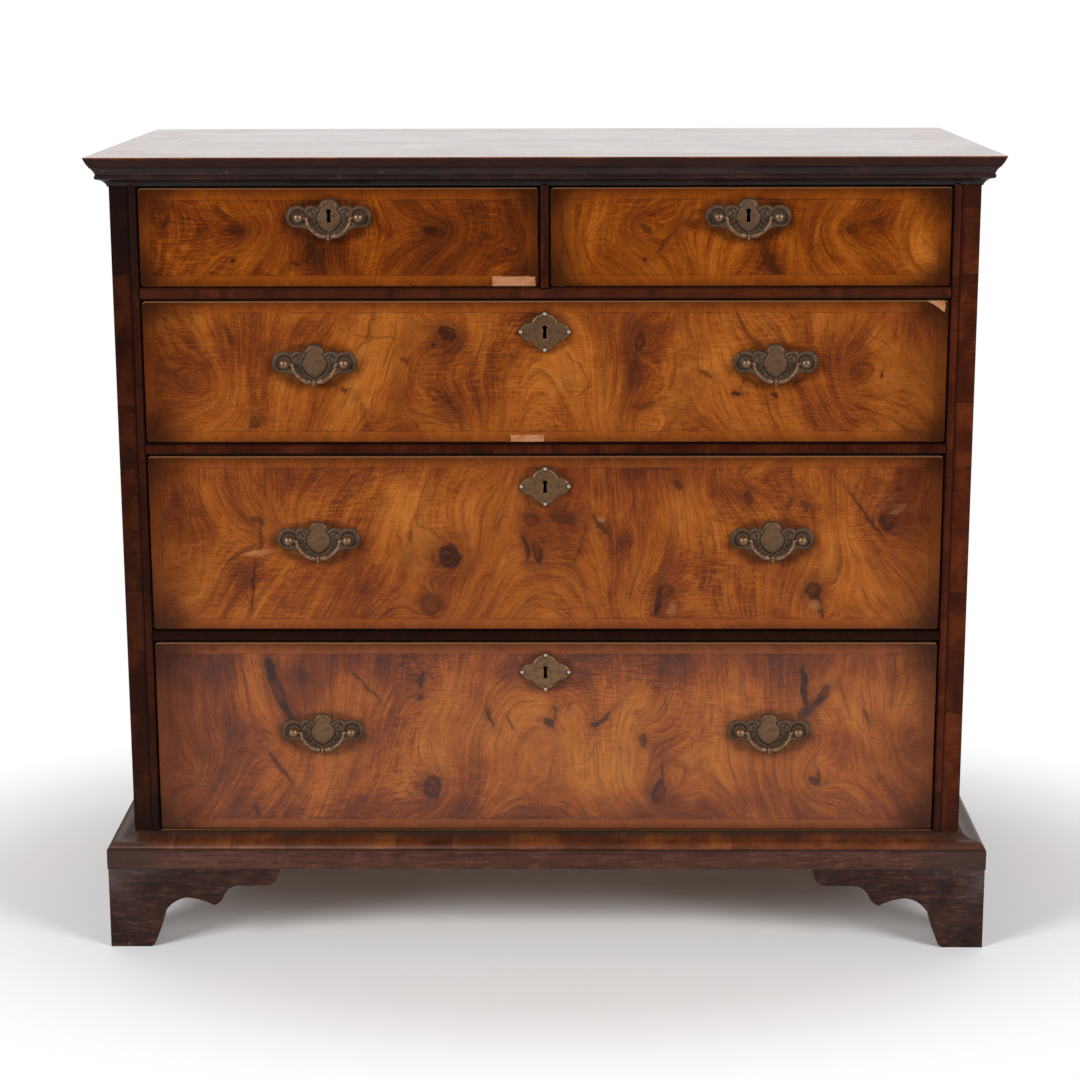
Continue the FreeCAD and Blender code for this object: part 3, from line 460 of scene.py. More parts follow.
def figured(f, spot, swirls, lean, tones=()):
    """Figured walnut on a flat spot: its colour, its grain and its pores. Rings run round each swirl."""
    wandering = f.drifted(f.drifted(spot, 0.0070, 24.0), 0.026, 3.6)
    across, _, up = f.split(wandering)
    rounding = 40.0
    level = (across * across + rounding**2).maths("SQRT") * 0.62 + up * lean
    for *oval, height in swirls:
        near = (-f.reach(wandering, *oval)).maths("EXPONENT")
        level = near.maths("MULTIPLY_ADD", height, level)

    def along_rings(fine, drift, detail=2.0, roughness=0.5):
        return f.noise((level * fine, across * drift, up * drift), 1.0, detail, roughness)

    def patches(scale, low, high, x=0.0, z=0.0):
        return f.noise(f.moved(spot, x, z), scale).rise(low, high)

    def lines(turns, low, high):
        turn = turns.maths("FRACT")
        return turn.rise(low, high) * turn.rise(1.0, 0.985)

    broad = along_rings(0.032, 0.007)
    streaks = along_rings(0.15, 0.010, 3.0, 0.6)
    fibre = along_rings(0.85, 0.035, 3.0, 0.7)
    pores = along_rings(2.1, 0.08, 1.0).rise(0.62, 0.76)
    cloud = f.noise(spot, 0.013, 4.0, 0.55)
    speck = f.noise(spot, 0.30, 3.0, 0.75)
    hatch = f.noise((across * 0.045, 4.0, up * 0.42), 1.0, 3.0, 0.65) - 0.5
    tone = broad * 0.52 + streaks * 0.46 + fibre * 0.58 + cloud * 0.72 + speck * 0.40 - 0.805
    tone = tone + hatch * (patches(0.008, 0.44, 0.62, 90.0, 400.0) * 0.62 + 0.16)
    for *oval, lift in tones:
        near = f.reach(wandering, *oval).rise(1.35, 0.1)
        tone = near.maths("MULTIPLY_ADD", lift * TONE_DEPTH, tone)
    stops = [
        (0.0, "veneer_dark"), (0.20, "veneer_deep"), (0.39, "veneer_brown"), (0.56, "veneer_gold"),
        (0.84, "veneer_pale"),
    ]
    tint = f.node("ShaderNodeValToRGB", {"stops": stops}, {"Fac": tone})
    smudge = f.noise(f.moved(wandering, 500.0, 30.0), 0.028, 5.0, 0.62).rise(0.55, 0.74)
    ring = lines(level * 0.046 + cloud * 0.45, 0.55, 0.98) * patches(0.019, 0.40, 0.62)
    crease = lines(level * 0.13 + streaks * 0.8, 0.82, 0.97) * patches(0.026, 0.46, 0.62)
    seam = abs(f.noise(f.moved(wandering, 710.0, 60.0), 0.017, 1.5) - 0.5).rise(0.0085, 0.0020)
    checked = patches(0.016, 0.50, 0.60, 310.0, 90.0)
    arcs = lines(level * 0.036 + broad * 0.5 + 0.3, 0.93, 0.975) * patches(0.012, 0.44, 0.58, 55.0, 820.0)
    tint = f.over(
        tint, (smudge * 0.46, "veneer_deep"), (ring * 0.36, "veneer_deep"), (crease * 0.52, "veneer_deep"),
        (seam * checked * 0.40, "veneer_dark"), (arcs * 0.46, "veneer_deep"), (pores * 0.26, "veneer_dark"))
    return tint, streaks, pores


def straight_grain(f, spot, pale, dark, contrast=1.0):
    """Plain wood whose grain runs along the spot's first axis: its colour and its grain."""
    long = f.vector("MULTIPLY", f.drifted(spot, 0.01, 10.0), (0.012, 1.0, 1.0))
    rings = f.noise(long, 0.11, 3.0, 0.6)
    fibre = f.noise(long, 0.9, 3.0, 0.7)
    tone = (rings * 0.7 + fibre * 0.45 - 0.575) * contrast + 0.5
    return f.mix(tone.rise(0.2, 0.8), dark, pale), fibre


def cross_grain(f, run, across, depth, pitch, seed, dark, warm, gold):
    """Short cross-grained lengths side by side: colour by length, fine grain and the joints between them."""
    wobble = f.noise((run * 0.02, across * 0.05, depth)) * 9.0
    step = (run + wobble) / pitch + seed
    number = step.maths("FLOOR")
    joint = abs(step.maths("FRACT") - 0.5).rise(0.494, 0.4995)
    grain = f.noise((run * 0.85, across * 0.05, depth * 0.05 + number * 7.0), 1.0, 4.0, 0.7)
    cloud = f.noise((run * 0.02, across * 0.03, depth * 0.02 + number * 3.0), 1.0, 3.0)
    tone = f.picked(number) * 0.15 + grain * 0.60 + cloud * 0.85 + 0.01
    stops = [(0.50, dark), (0.80, warm), (0.96667, gold), (1.0, warm)]
    tint = f.node("ShaderNodeValToRGB", {"stops": stops}, {"Fac": tone})
    return f.mix(joint * 0.75, tint, dark), grain, joint


def veneer_front(drawer):
    """The veneered front of one drawer, from its figure out to its dirt, painted shade and painted
    highlights, and the core wood behind.
    """
    f, place, x, y, z = start(drawer + "_veneer")
    low, high = box_mm(drawer + "_front")
    spot = f.point(x, 0.0, z)
    figure = FIGURES[drawer]
    tint, grain, pores = figured(f, spot, figure["swirls"], 0.18, figure["tones"])
    tint = marked(f, tint, spot, grain, figure["marks"])
    warm = f.noise(spot, 0.016).rise(0.52, 0.72)
    tint = f.mix(warm * 0.35, tint, "veneer_brown")
    end = (x - low.x).least(high.x - x)
    rim = (z - low.z).least(high.z - z)
    tint, line = crossbanded(f, tint, spot, end, rim, warm)
    tint = grime_shade_and_sheen(f, tint, spot, end, rim, drawer)
    height = grain * 0.3 - pores * 0.4 - line * 0.8
    if drawer in REPAIRS:
        bare = repaired(f, spot, drawer)
        raw = f.mix(f.noise((x * 0.04, z * 0.7, 3.0)), "bare_wood", (0.52, 0.25, 0.13))
        raw = f.mix(f.noise(spot, 0.11, 3.0).rise(0.45, 0.7) * 0.6, raw, "veneer_gold")
        tint = f.mix(bare * 0.92, tint, raw)
        height = height - bare * 1.5
    behind = y.rise(FACE_Y + 2.0, FACE_Y + 2.3)
    tint = f.mix(behind, tint, core_wood(f, place))
    roughness = f.noise(spot, 0.03, 3.0) * 0.14 + 0.20 + pores * 0.1 + behind * 0.4
    _, gloss, _ = POLISH[drawer]
    return f.surface(tint, roughness, bump=height, bump_height=0.00015, specular=gloss)


def marked(f, tint, spot, grain, marks):
    """Knots, stains, cracks and pale fillings, ragged at their edges."""
    shaken = f.drifted(f.drifted(spot, 0.06, 10.0), 0.26, 4.4)
    for x, z, radius_x, radius_z, tilt, depth in marks:
        away = f.reach(shaken, x, z, radius_x * MARK_SPREAD, radius_z * MARK_SPREAD, tilt)
        if depth < 0:
            tint = f.mix(away.rise(1.2, 0.6) * -depth, tint, (0.50, 0.21, 0.080))
            continue
        dark = min(0.92, depth * 1.15)
        tint = f.over(
            tint, (away.rise(3.2, 0.8) * depth * 0.48, "veneer_deep"),
            (away.rise(1.16, 0.74) * dark, "veneer_dark"))
        if min(radius_x, radius_z) > KNOT_RADIUS:
            heart = away.rise(0.82, 0.40) * grain.rise(0.42, 0.58)
            tint = f.mix(heart * 0.5, tint, "veneer_brown")
    return tint


def crossbanded(f, tint, spot, end, rim, warm):
    """A front with the crossband along its edges, and the broken line where the band meets the leaf."""
    x, _, z = f.split(spot)
    band = sizes().band_width / MM
    lay = f.noise((x * 0.9, z * 0.05, 1.0), 1.0, 3.0)
    turned = f.noise((x * 0.05, z * 0.9, 5.0), 1.0, 3.0)
    laid = lay + (turned - lay) * (rim - end).rise(-0.3, 0.3)
    banding = f.mix(laid.rise(0.2, 0.8) * 0.7 + warm * 0.2, "veneer_gold", "veneer_brown")
    edge = end.least(rim) + f.noise(spot, 0.05) * 2.4
    line = abs(edge - band - 1.2).rise(0.9, 0.2)
    broken = f.noise(spot, 0.03).rise(0.36, 0.56)
    leaf = edge.rise(band + 1.0, band + 1.5)
    return f.over(tint, ((1 - leaf) * 0.66, banding), (line * broken * 0.5, "veneer_dark")), line


def grime_shade_and_sheen(f, tint, spot, end, rim, drawer):
    """A front with its dust and painted sheen, the dirt and painted shade of its ends, edges and corners, the
    grime and painted shadow round its brasses, and its worn arrises with a painted highlight.
    """
    low, high = box_mm(drawer + "_front")
    _, _, z = f.split(spot)
    dust, _, dirt_and_shade_reach = POLISH[drawer]
    crust = f.noise(spot, 0.085, 4.0, 0.6)
    smoke = f.noise(spot, 0.02, 3.0) * 0.72 + crust * 0.28
    # Darker towards the ends, the top edge and the foot of the front, and darkest in its corners: dirt and
    # painted shade, laid as the shade and corner colours below.
    ends = (end + (smoke - 0.5) * dirt_and_shade_reach * 0.8).rise(dirt_and_shade_reach, -8.0)
    head = (high.z - z + smoke * 9.0 + crust * 12.0 - 10.5).rise(15.0, -2.0)
    foot = (z - low.z + smoke * 10.0 + crust * 12.0 - 11.0).rise(11.0, -2.0)
    corner = (end + rim + smoke * 64.0 - 32.0).rise(78.0, 8.0)
    shade = (ends * 0.72).most(head * 0.74).most(foot * 0.56)
    # The pale haze laid first is partly dust in the old polish and partly a painted sheen of reflected light,
    # heaviest on the lowest front.
    tint = f.over(
        tint, (dust, (0.34, 0.30, 0.32)), (shade, (0.056, 0.0104, 0.0024)),
        (corner * 0.78, (0.0170, 0.0046, 0.0022)))
    soil = f.noise(spot, 0.09, 3.0)
    # Darker ovals round the handles and the escutcheon: grime and painted shadow of the brasses.
    for handle_x, handle_z in handle_places(drawer):
        halo = f.reach(spot, handle_x, handle_z - 3.0, *HANDLE_GRIME_AND_SHADOW, 0) + soil * 0.5
        tint = f.mix(halo.rise(1.56, 1.14) * 0.62, tint, "veneer_dark")
    if drawer in LONG_DRAWERS:
        halo = f.reach(spot, *key_place(drawer), *KEY_GRIME_AND_SHADOW, 0) + soil * 0.5
        tint = f.mix(halo.rise(1.5, 1.12) * 0.55, tint, "veneer_dark")
    # Paler edges all round and a pale line along the top arris: wear and a painted highlight.
    worn = (end.least(rim) + soil * 2.0).rise(2.1, 0.9)
    arris = (z + soil * 1.2).rise(high.z - 0.9, high.z + 0.1)
    return f.over(tint, (worn * 0.35, "veneer_pale"), (arris * 0.42, (0.36, 0.19, 0.10)))


def repaired(f, spot, drawer):
    """Where new wood shows on a front: a piece let into its crossband, and the chip of a corner."""
    x, _, z = f.split(f.drifted(spot, 0.12, 3.0))
    x_low, z_low, x_high, z_high = REPAIRS[drawer]
    bare = (x - x_low).least(x_high - x).least((z - z_low + 4.0).least(z_high - z)).rise(-0.4, 0.5)
    if drawer == CHIPPED:
        high = box_mm(drawer + "_front")[1]
        slope = (z - high.z) * 1.5 + (x - high.x) + 24.0
        bare = bare.most(slope.rise(0.0, 1.2) * (high.x - 4.0 - x).rise(-0.5, 1.0))
    return bare


def core_wood(f, place):
    """The pine that a front is made of behind its veneer, with end grain at its ends."""
    core, _ = straight_grain(f, place, "pine", (0.15, 0.075, 0.03))
    rings = f.noise(place, (0.1, 0.16, 0.5), 3.0)
    end_grain = f.mix(rings.rise(0.3, 0.7), (0.085, 0.040, 0.017), (0.175, 0.088, 0.036))
    facing, _, _ = f.split(f.node("ShaderNodeNewGeometry", out="Normal"))
    return f.mix(abs(facing).rise(0.6, 0.8), core, end_grain)


def handle_places(drawer):
    """Middle of each handle of a drawer on its pommel line, in millimetres."""
    low, high = box_mm(drawer + "_posts")
    z = (low.z + high.z) / 2
    words = ("_left", "_right") if drawer in LONG_DRAWERS else ("",)
    boxes = [box_mm(drawer + "_bail" + word) for word in words]
    return [((low.x + high.x) / 2, z) for low, high in boxes]


def key_place(drawer):
    """Middle of the escutcheon of a long drawer, in millimetres."""
    return 0.0, box_mm(drawer + "_front")[1].z - KEY_DROP


def top_veneer():
    """The top: four matched leaves, a feathered line, a crossband and a dark nose, rubbed by use, with a
    painted highlight along its arrises.
    """
    f, place, x, y, z = start("top_veneer")
    depth = y - (top_low.y + top_high.y) / 2
    end = top_high.x - abs(x)
    edge = end.least((y - top_low.y).least(top_high.y - y))
    spot = f.point(abs(x) + 40.0, 0.0, abs(depth) + 300.0)
    tint, grain, pores = figured(f, spot, TOP_SWIRLS, 0.35)
    tint = f.mix(0.5, tint, (0.066, 0.021, 0.0110))
    band = sizes().top_band_width / MM
    upright = (edge + 0.01 - end).rise(-0.3, 0.3)
    woods = ("moulding_red", "veneer_brown", "veneer_gold")
    along, _, _ = cross_grain(f, x, y, 0.0, 92.0, 0.3, *woods)
    aside, _, _ = cross_grain(f, y, x, 0.0, 92.0, 0.7, *woods)
    line = abs(edge - band - 5.0)
    herring = ((x + (y - x) * upright) * 0.25 + line * 0.5).maths("PINGPONG", 1.0)
    feather = f.mix(abs(herring - 0.5).rise(0.1, 0.4), "veneer_deep", "veneer_gold")
    strings = abs(line - 5.2).rise(0.7, 0.3)
    joint = abs(depth).least(abs(x)).rise(0.7, 0.2) * edge.rise(band, band + 4.0)
    ring = f.reach(f.drifted(f.point(x, 0.0, y), 0.03, 4.0), 130.0, 40.0, 44.0, 44.0, 0)
    stain = abs(ring - 1.0).rise(0.06, 0.02)
    nose = z.rise(top_high.z - 0.4, top_high.z - 2.0)
    scuffs = f.noise(place, (0.02, 0.05, 0.05), 4.0).rise(0.55, 0.8)
    # Paler scuffs along the top's edges: wear and a painted highlight.
    worn = edge.rise(5.0, 1.0) * z.rise(top_high.z - 3.0, top_high.z - 0.3) * scuffs
    tint = f.over(
        tint, (edge.rise(band + 0.3, band - 0.3), f.mix(upright, along, aside)),
        (line.rise(5.3, 4.9) * 0.85, feather),
        (strings * 0.7, "veneer_dark"), (joint * 0.6, "veneer_dark"), (stain * 0.3, "veneer_dark"),
        (nose * 0.94, (0.016, 0.0064, 0.0052)), (worn * 0.3, (0.21, 0.10, 0.07)))
    roughness = f.noise(place, 0.012, 4.0) * 0.14 + 0.10 + pores * 0.06 + nose * 0.2
    rubbed = f.noise(place, (0.004, 0.016, 0.0), 5.0, 0.62)
    polish = rubbed * 0.46 + grain * 0.16 + edge.rise(band - 2.0, band + 2.0) * 0.06 - strings * 0.12 + 0.10
    height = grain * 0.3 - pores * 0.6 - strings * 0.5
    coat = (1 - nose) * polish
    return f.surface(tint, roughness, bump=height, bump_height=0.0001, coat=coat, specular=0.10)


def moulding_run(x, y):
    """Distance along a moulding that goes round the front and both sides, and which of them a point is on."""
    side = (abs(x) - HALF_WIDTH + y - FACE_Y).rise(-0.4, 0.4)
    return x + (y - x) * side, side


def cornice_finish():
    """The cornice: near-black cross grain under dust, with fine dark lines and chips, and painted shade over
    its lowest part.
    """
    f, place, x, y, z = start("cornice_cross_grain")
    run, side = moulding_run(x, y)
    tint, grain, joint = cross_grain(
        f, run, z, side * 40.0, 79.0, 0.35, "moulding_black", (0.019, 0.0077, 0.0068), (0.043, 0.016, 0.0112))
    dust = f.noise(place, (0.02, 0.02, 0.5), 4.0, 0.7).rise(0.55, 0.8)
    lines = f.noise((run * 0.006, z * 0.9, side), 1.0, 3.0, 0.6).rise(0.52, 0.40)
    chips = f.noise(place, 0.12).rise(0.72, 0.78)
    # Painted shade: the lowest part of the cornice, under its overhang, darkens to near black.
    low = z.rise(CORNICE_LOW + 9.0, CORNICE_LOW + 0.5)
    tint = f.over(
        tint, (dust * 0.42, (0.10, 0.058, 0.05)), (lines * 0.6, "moulding_black"),
        (chips * 0.4, (0.24, 0.14, 0.115)), (low * 0.8, (0.006, 0.0045, 0.0045)))
    return f.surface(tint, grain * 0.2 + 0.26, bump=grain - joint * 2.0, specular=0.22)


def base_finish():
    """The base moulding: a cross-grained slope over a plain fascia, scuffed, with dirt and painted shade in
    the crease at the foot of its slope.
    """
    f, place, x, y, z = start("base_cross_grain")
    run, side = moulding_run(x, y)
    tint, grain, joint = cross_grain(
        f, run, z, side * 40.0, 63.0, 0.6, (0.040, 0.0105, 0.0045), (0.118, 0.031, 0.0100),
        (0.21, 0.062, 0.0155))
    plain, _ = straight_grain(f, f.point(run, z, y), (0.085, 0.027, 0.0165), (0.030, 0.0095, 0.0065), 1.4)
    mottle = f.noise(place, 0.05, 4.0, 0.7)
    scuffed = f.noise((run * 0.04, z * 0.24, y * 0.02), 1.0, 4.0, 0.65)
    plain = f.over(
        plain, (mottle.rise(0.45, 0.75) * 0.5, (0.125, 0.043, 0.025)),
        (scuffed.rise(0.52, 0.70) * 0.5, (0.175, 0.066, 0.042)),
        (scuffed.rise(0.46, 0.30) * 0.7, "moulding_black"))
    fascia = z.rise(SLOPE_LOW + 0.9, SLOPE_LOW - 0.3)
    smoke = f.noise(place, 0.03, 3.0)
    upper = (z + smoke * 9.0 - 4.5).rise(BASE_HIGH - 8.0, BASE_HIGH - 1.0)
    # Dirt and painted shade in the crease where the slope meets the fascia.
    hollow = abs(z - SLOPE_LOW - 0.8).rise(1.5, 0.4)
    chips = f.noise(place, 0.2).rise(0.68, 0.74)
    ends = (abs(x) + smoke * 40.0 - 20.0).rise(400.0, 480.0)
    tint = f.over(
        tint, (scuffed.rise(0.48, 0.30) * 0.55, "moulding_black"), (fascia, plain),
        (upper * 0.85, (0.028, 0.017, 0.013)), (hollow * 0.6, "moulding_black"),
        (chips * 0.12, (0.30, 0.20, 0.15)), (ends * 0.7, (0.030, 0.014, 0.010)))
    height = grain * 0.7 + mottle * 0.4 - joint
    return f.surface(tint, grain * 0.2 + 0.3, bump=height, bump_height=0.0003, specular=0.2)


def foot_finish():
    """The bracket feet: dark plain veneer, smoked, scuffed and kicked."""
    f, place, x, y, z = start("foot_veneer")
    on_front = y.rise(FACE_Y - 4.0, FACE_Y - 5.0)
    on_back = y.rise(back_high.y - 20.0, back_high.y - 17.0)
    run = y + (x - y) * on_front.most(on_back)
    tint, fibre = straight_grain(
        f, f.point(run, z, run * 0.1), (0.037, 0.0105, 0.0062), (0.0115, 0.0036, 0.0024), 1.5)
    mottle = f.noise(place, 0.045, 4.0, 0.65)
    scuffed = f.noise((run * 0.05, z * 0.22, y * 0.02), 1.0, 4.0, 0.65)
    smoke = f.noise(place, 0.02, 3.0).rise(0.5, 0.7)
    kicked = f.noise(place, 0.16, 3.0).rise(0.62, 0.72)
    tint = f.over(
        tint, (mottle.rise(0.42, 0.78) * 0.5, (0.060, 0.0185, 0.0110)),
        (scuffed.rise(0.50, 0.68) * 0.62, (0.098, 0.034, 0.0215)),
        (scuffed.rise(0.44, 0.30) * 0.7, "moulding_black"),
        (smoke * 0.55, "moulding_black"), (kicked * (z.rise(26.0, 0.0) * 0.3 + 0.04), (0.22, 0.12, 0.08)))
    height = fibre * 0.6 + mottle * 0.8 - kicked
    return f.surface(tint, mottle * 0.25 + 0.32, bump=height, bump_height=0.0004, specular=0.2)


def facing_finish():
    """Stile facings, beads and the partition's bead: cross grain along each, set by where a point lies."""
    f, place, x, y, z = start("stile_cross_grain")
    partition_half, partition_foot, stile_middle = 5.6, 750.0, 442.0
    away = abs(x)
    partition = away.rise(partition_half + 0.2, partition_half - 0.2)
    partition = partition * z.rise(partition_foot - 2.0, partition_foot + 2.0)
    upright = away.rise(OPENING_HALF - 0.2, OPENING_HALF).most(partition)
    run = x + (z - x) * upright
    across = z + (x - z) * upright
    hand = x.maths("SIGN")
    tint, grain, joint = cross_grain(
        f, run, across, hand * 20.0, 71.0, 0.15, (0.010, 0.0030, 0.0018), (0.046, 0.0082, 0.0026),
        (0.115, 0.024, 0.0060))
    fine, _, _ = cross_grain(
        f, run, across, hand * 31.0, 117.0, 0.45, (0.014, 0.0028, 0.0010), (0.040, 0.0062, 0.0014),
        (0.080, 0.0160, 0.0040))
    bead = away.rise(OPENING_HALF + 9.2, OPENING_HALF + 8.8)
    smoke = f.noise(place, 0.014, 3.0)
    # Darker towards the top and the foot of the stiles, and more so on the left, where it is painted shade.
    high = (z + smoke * 160.0 - 80.0).rise(700.0, 840.0)
    low = (z + smoke * 60.0 - 30.0).rise(210.0, 140.0)
    darker_top_and_foot = high.most(low) * (x.rise(60.0, -60.0) * 0.50 + 0.32)
    # Painted shadow: near black on the beads' flanks and whatever lies back near the drawers' face, beside
    # the drawer gaps.
    flank_shadow = y.rise(FACE_Y - 2.9, FACE_Y - 1.0) * away.rise(OPENING_HALF + 11.0, OPENING_HALF + 9.0)
    low_rails = away.rise(OPENING_HALF + 0.2, OPENING_HALF - 0.2) * z.rise(460.0, 380.0)
    # Painted highlight: a warmer tone on the crests of the beads.
    crest = y.rise(FACE_Y - 1.2, FACE_Y - 3.4) * grain.rise(0.35, 0.75)
    # Painted shade darkens the left stile and a painted reflection warms the right one.
    left_stile = x.rise(4.0 - stile_middle, -4.0 - stile_middle)
    right_stile = x.rise(stile_middle - 4.0, stile_middle + 4.0)
    upper_rail = upright.rise(0.5, 0.4) * z.rise(690.0, 730.0)
    patches = f.noise(place, (0.05, 0.05, 0.012)).rise(0.56, 0.7)
    tint = f.over(
        tint, (bead, fine), (darker_top_and_foot, (0.0095, 0.0055, 0.005)), (flank_shadow * 0.85, (0.0060, 0.0026, 0.0020)),
        (low_rails * 0.86, (0.0050, 0.0016, 0.0009)), (crest * 0.15, (0.10, 0.022, 0.009)),
        (left_stile * 0.55, (0.0075, 0.0032, 0.0024)), (right_stile * 0.07, (0.15, 0.032, 0.015)),
        (upper_rail * 0.2, (0.13, 0.032, 0.012)), (patches * 0.45, "moulding_black"))
    return f.surface(tint, grain * 0.18 + 0.30, bump=grain * 0.8 - joint * 1.5, specular=0.055)


def side_finish():
    """Outside of the carcase sides in plain walnut veneer, and bare pine within."""
    f, place, x, y, z = start("side_veneer")
    depth = y - (side_low.y + side_high.y) / 2
    spot = f.point(depth, 0.0, z)
    tint, grain, pores = figured(f, spot, SIDE_SWIRLS, 0.06)
    leaf_edge, seen_low, seen_high = 118.0, 131.0, 862.0
    leaf = abs(abs(depth) - leaf_edge).rise(0.6, 0.15)
    smoke = f.noise(spot, 0.012, 4.0)
    edge = (y - side_low.y).least(side_high.y - y).least(z - seen_low).least(seen_high - z)
    dirty = (edge + smoke * 60.0 - 30.0).rise(40.0, -10.0)
    tint = f.over(
        tint, (0.5, (0.082, 0.022, 0.0068)), (leaf * 0.6, "veneer_dark"),
        (dirty * 0.75, (0.035, 0.013, 0.008)))
    core, fibre = straight_grain(f, f.point(z, y, x), "pine", (0.14, 0.07, 0.028))
    veneer = abs(x).rise(HALF_WIDTH - 1.4, HALF_WIDTH - 1.1)
    roughness = f.noise(spot, 0.02, 3.0) * 0.15 + 0.52 - veneer * 0.25
    height = grain * 0.4 - pores * 0.7 + fibre * 0.3 - leaf
    return f.surface(f.mix(veneer, core, tint), roughness, bump=height, specular=0.22)


def pine_finish(name, axis, boards=False):
    """Plain pine, toned by age, with its grain along one axis. No two of the back boards are alike."""
    f, place, x, y, z = start(name)
    lead, other, third = {"x": (x, y, z), "y": (y, x, z), "z": (z, x, y)}[axis]
    if boards:
        step = (x + back_high.x) / BOARD_WIDTH
        board = step.maths("FLOOR")
        pick = f.picked(board + 0.5)
        lead = lead + pick * 3000.0
    spot = f.point(lead, other, third)
    tint, fibre = straight_grain(f, spot, "pine", (0.165, 0.074, 0.027), 1.2)
    cells = f.vector("MULTIPLY", f.drifted(spot, 0.03, 12.0), (0.0042, 0.0105, 0.0105))
    knot = f.node("ShaderNodeTexVoronoi", {"feature": "F1"}, {"Vector": cells, "Scale": 1.0}, out="Distance")
    stain = f.noise(place, 0.008, 5.0, 0.6).rise(0.42, 0.72)
    saw = f.noise((lead * 0.30, other * 0.012, third * 0.012), 1.0, 1.0)
    tint = f.over(
        tint, (knot.rise(0.10, 0.05) * 0.75, (0.06, 0.024, 0.010)), (stain * 0.55, (0.105, 0.052, 0.024)))
    if boards:
        grey = f.noise(place, (0.05, 0.05, 0.006), 4.0).rise(0.42, 0.66)
        rim = abs(step - board - 0.5).rise(0.45, 0.5)
        damp = z.rise(300.0, 110.0) * f.noise(place, 0.013, 4.0).rise(0.4, 0.7)
        tint = f.over(
            tint, (pick * 0.62, (0.105, 0.052, 0.024)), (grey * 0.34, (0.15, 0.115, 0.080)),
            ((rim * 0.5).most(damp * 0.6), (0.055, 0.030, 0.017)))
    height = fibre * 0.8 + saw * 0.6
    return f.surface(tint, fibre * 0.2 + 0.62, bump=height, bump_height=0.0005, specular=0.25)


def oak_finish(name, framed):
    """Dry oak for the drawer linings, with pores and silver rays. A frame's back has its grain across."""
    f, place, x, y, z = start(name)
    lead, other = y, x
    if framed:
        back = y.rise(DRAWER_BACK - 10.4, DRAWER_BACK - 10.0)
        lead = y + (x - y) * back
        other = x + (y - x) * back
    tint, fibre = straight_grain(f, f.point(lead, other, z), "oak", (0.175, 0.086, 0.033))
    pores = f.noise((lead * 0.06, other * 1.6, z * 1.6), 1.0, 1.0).rise(0.58, 0.68)
    rays = f.noise((lead * 0.10, other * 0.5, z * 0.28)).rise(0.62, 0.70)
    dirt = f.noise(place, 0.012, 4.0).rise(0.48, 0.75)
    tint = f.over(
        tint, (pores * 0.45, (0.075, 0.038, 0.016)), (rays * 0.25, (0.46, 0.30, 0.16)),
        (dirt * 0.4, (0.125, 0.062, 0.027)))
    return f.surface(tint, fibre * 0.2 + 0.55, bump=fibre * 0.5 - pores, bump_height=0.0003, specular=0.3)


def brass_finish(name, relief, grime=0.0):
    """Aged brass: rubbed on its high points, dull on its flats and dark in its hollows and low fields."""
    f = Finish(name)
    place = f.place()
    mottle = f.noise(place, 0.22, 4.0, 0.65)
    fine = f.noise(place, 0.9, 3.0, 0.6)
    if relief:
        crest, stand = (
            f.node("ShaderNodeAttribute", {"attribute_name": key}, out="Fac") for key in ("relief", "stand"))
        ridge = crest.rise(0.62, 0.95) * crest.rise(1.5, 1.2)
        field = (stand + mottle * 0.8 - 0.4).rise(2.0, 1.6)
        hollow = (crest + mottle * 0.3 - 0.15).rise(0.50, 0.22).most(ridge * 0.45).most(field * grime)
        rubbed = (crest + mottle * 0.6 - 0.30).rise(0.85, 1.6)
        table = stand.rise(1.9, 2.05) * stand.rise(2.45, 2.4)
        hollow = (hollow * (1 - rubbed * 0.75)).most(table * grime * 0.45)
    else:
        hollow = mottle.rise(0.50, 0.30) * 0.6
        rubbed = (mottle * 0.7 + fine * 0.4).rise(0.42, 0.70) * 0.45
    tint = f.over(
        "brass_dull", (rubbed * 0.75, "brass_worn"), (mottle.rise(0.44, 0.62) * 0.55, (0.085, 0.058, 0.036)),
        (hollow * 0.9, "brass_dirt"))
    if relief:
        tint = f.mix(stand.rise(2.45, 2.75) * 0.85, tint, (0.56, 0.49, 0.42))
    roughness = mottle * 0.2 + 0.36 + hollow * 0.28 - rubbed * 0.08
    return f.surface(tint, roughness, 0.92 - hollow * 0.5, bump=fine * 0.6 + mottle, bump_height=0.00035)


def iron_finish(name):
    """Blacked iron with a bloom of rust."""
    f = Finish(name)
    place = f.place()
    scale = f.noise(place, 0.12, 5.0, 0.7)
    rust = f.noise(place, 0.045, 4.0).rise(0.5, 0.68)
    tint = f.over("iron", (scale.rise(0.35, 0.7), (0.022, 0.018, 0.016)), (rust * 0.5, (0.10, 0.038, 0.016)))
    return f.surface(tint, scale * 0.25 + 0.42, 0.75 - rust * 0.5, bump=scale, bump_height=0.0003)


def dress(name, material):
    """Gives a CAD node its finish."""
    nodes[name].material_slots[0].material = material


def soften(name, width):
    """Wears the sharp edges of a CAD node round, with its mesh left as it is."""
    piece = nodes[name]
    weld = piece.modifiers.new("joined_faces", "WELD")
    weld.merge_threshold = 0.00001
    bevel = piece.modifiers.new("worn_arris", "BEVEL")
    bevel.width = width
    bevel.segments = 3
    bevel.limit_method = "ANGLE"
    bevel.angle_limit = math.radians(32)
    bevel.harden_normals = False
    normals = piece.modifiers.new("even_shading", "WEIGHTED_NORMAL")
    normals.keep_sharp = False


def placed(name, data):
    """A new object in the scene, for a mesh, a lamp or a camera."""
    piece = bpy.data.objects.new(name, data)
    bpy.context.scene.collection.objects.link(piece)
    return piece


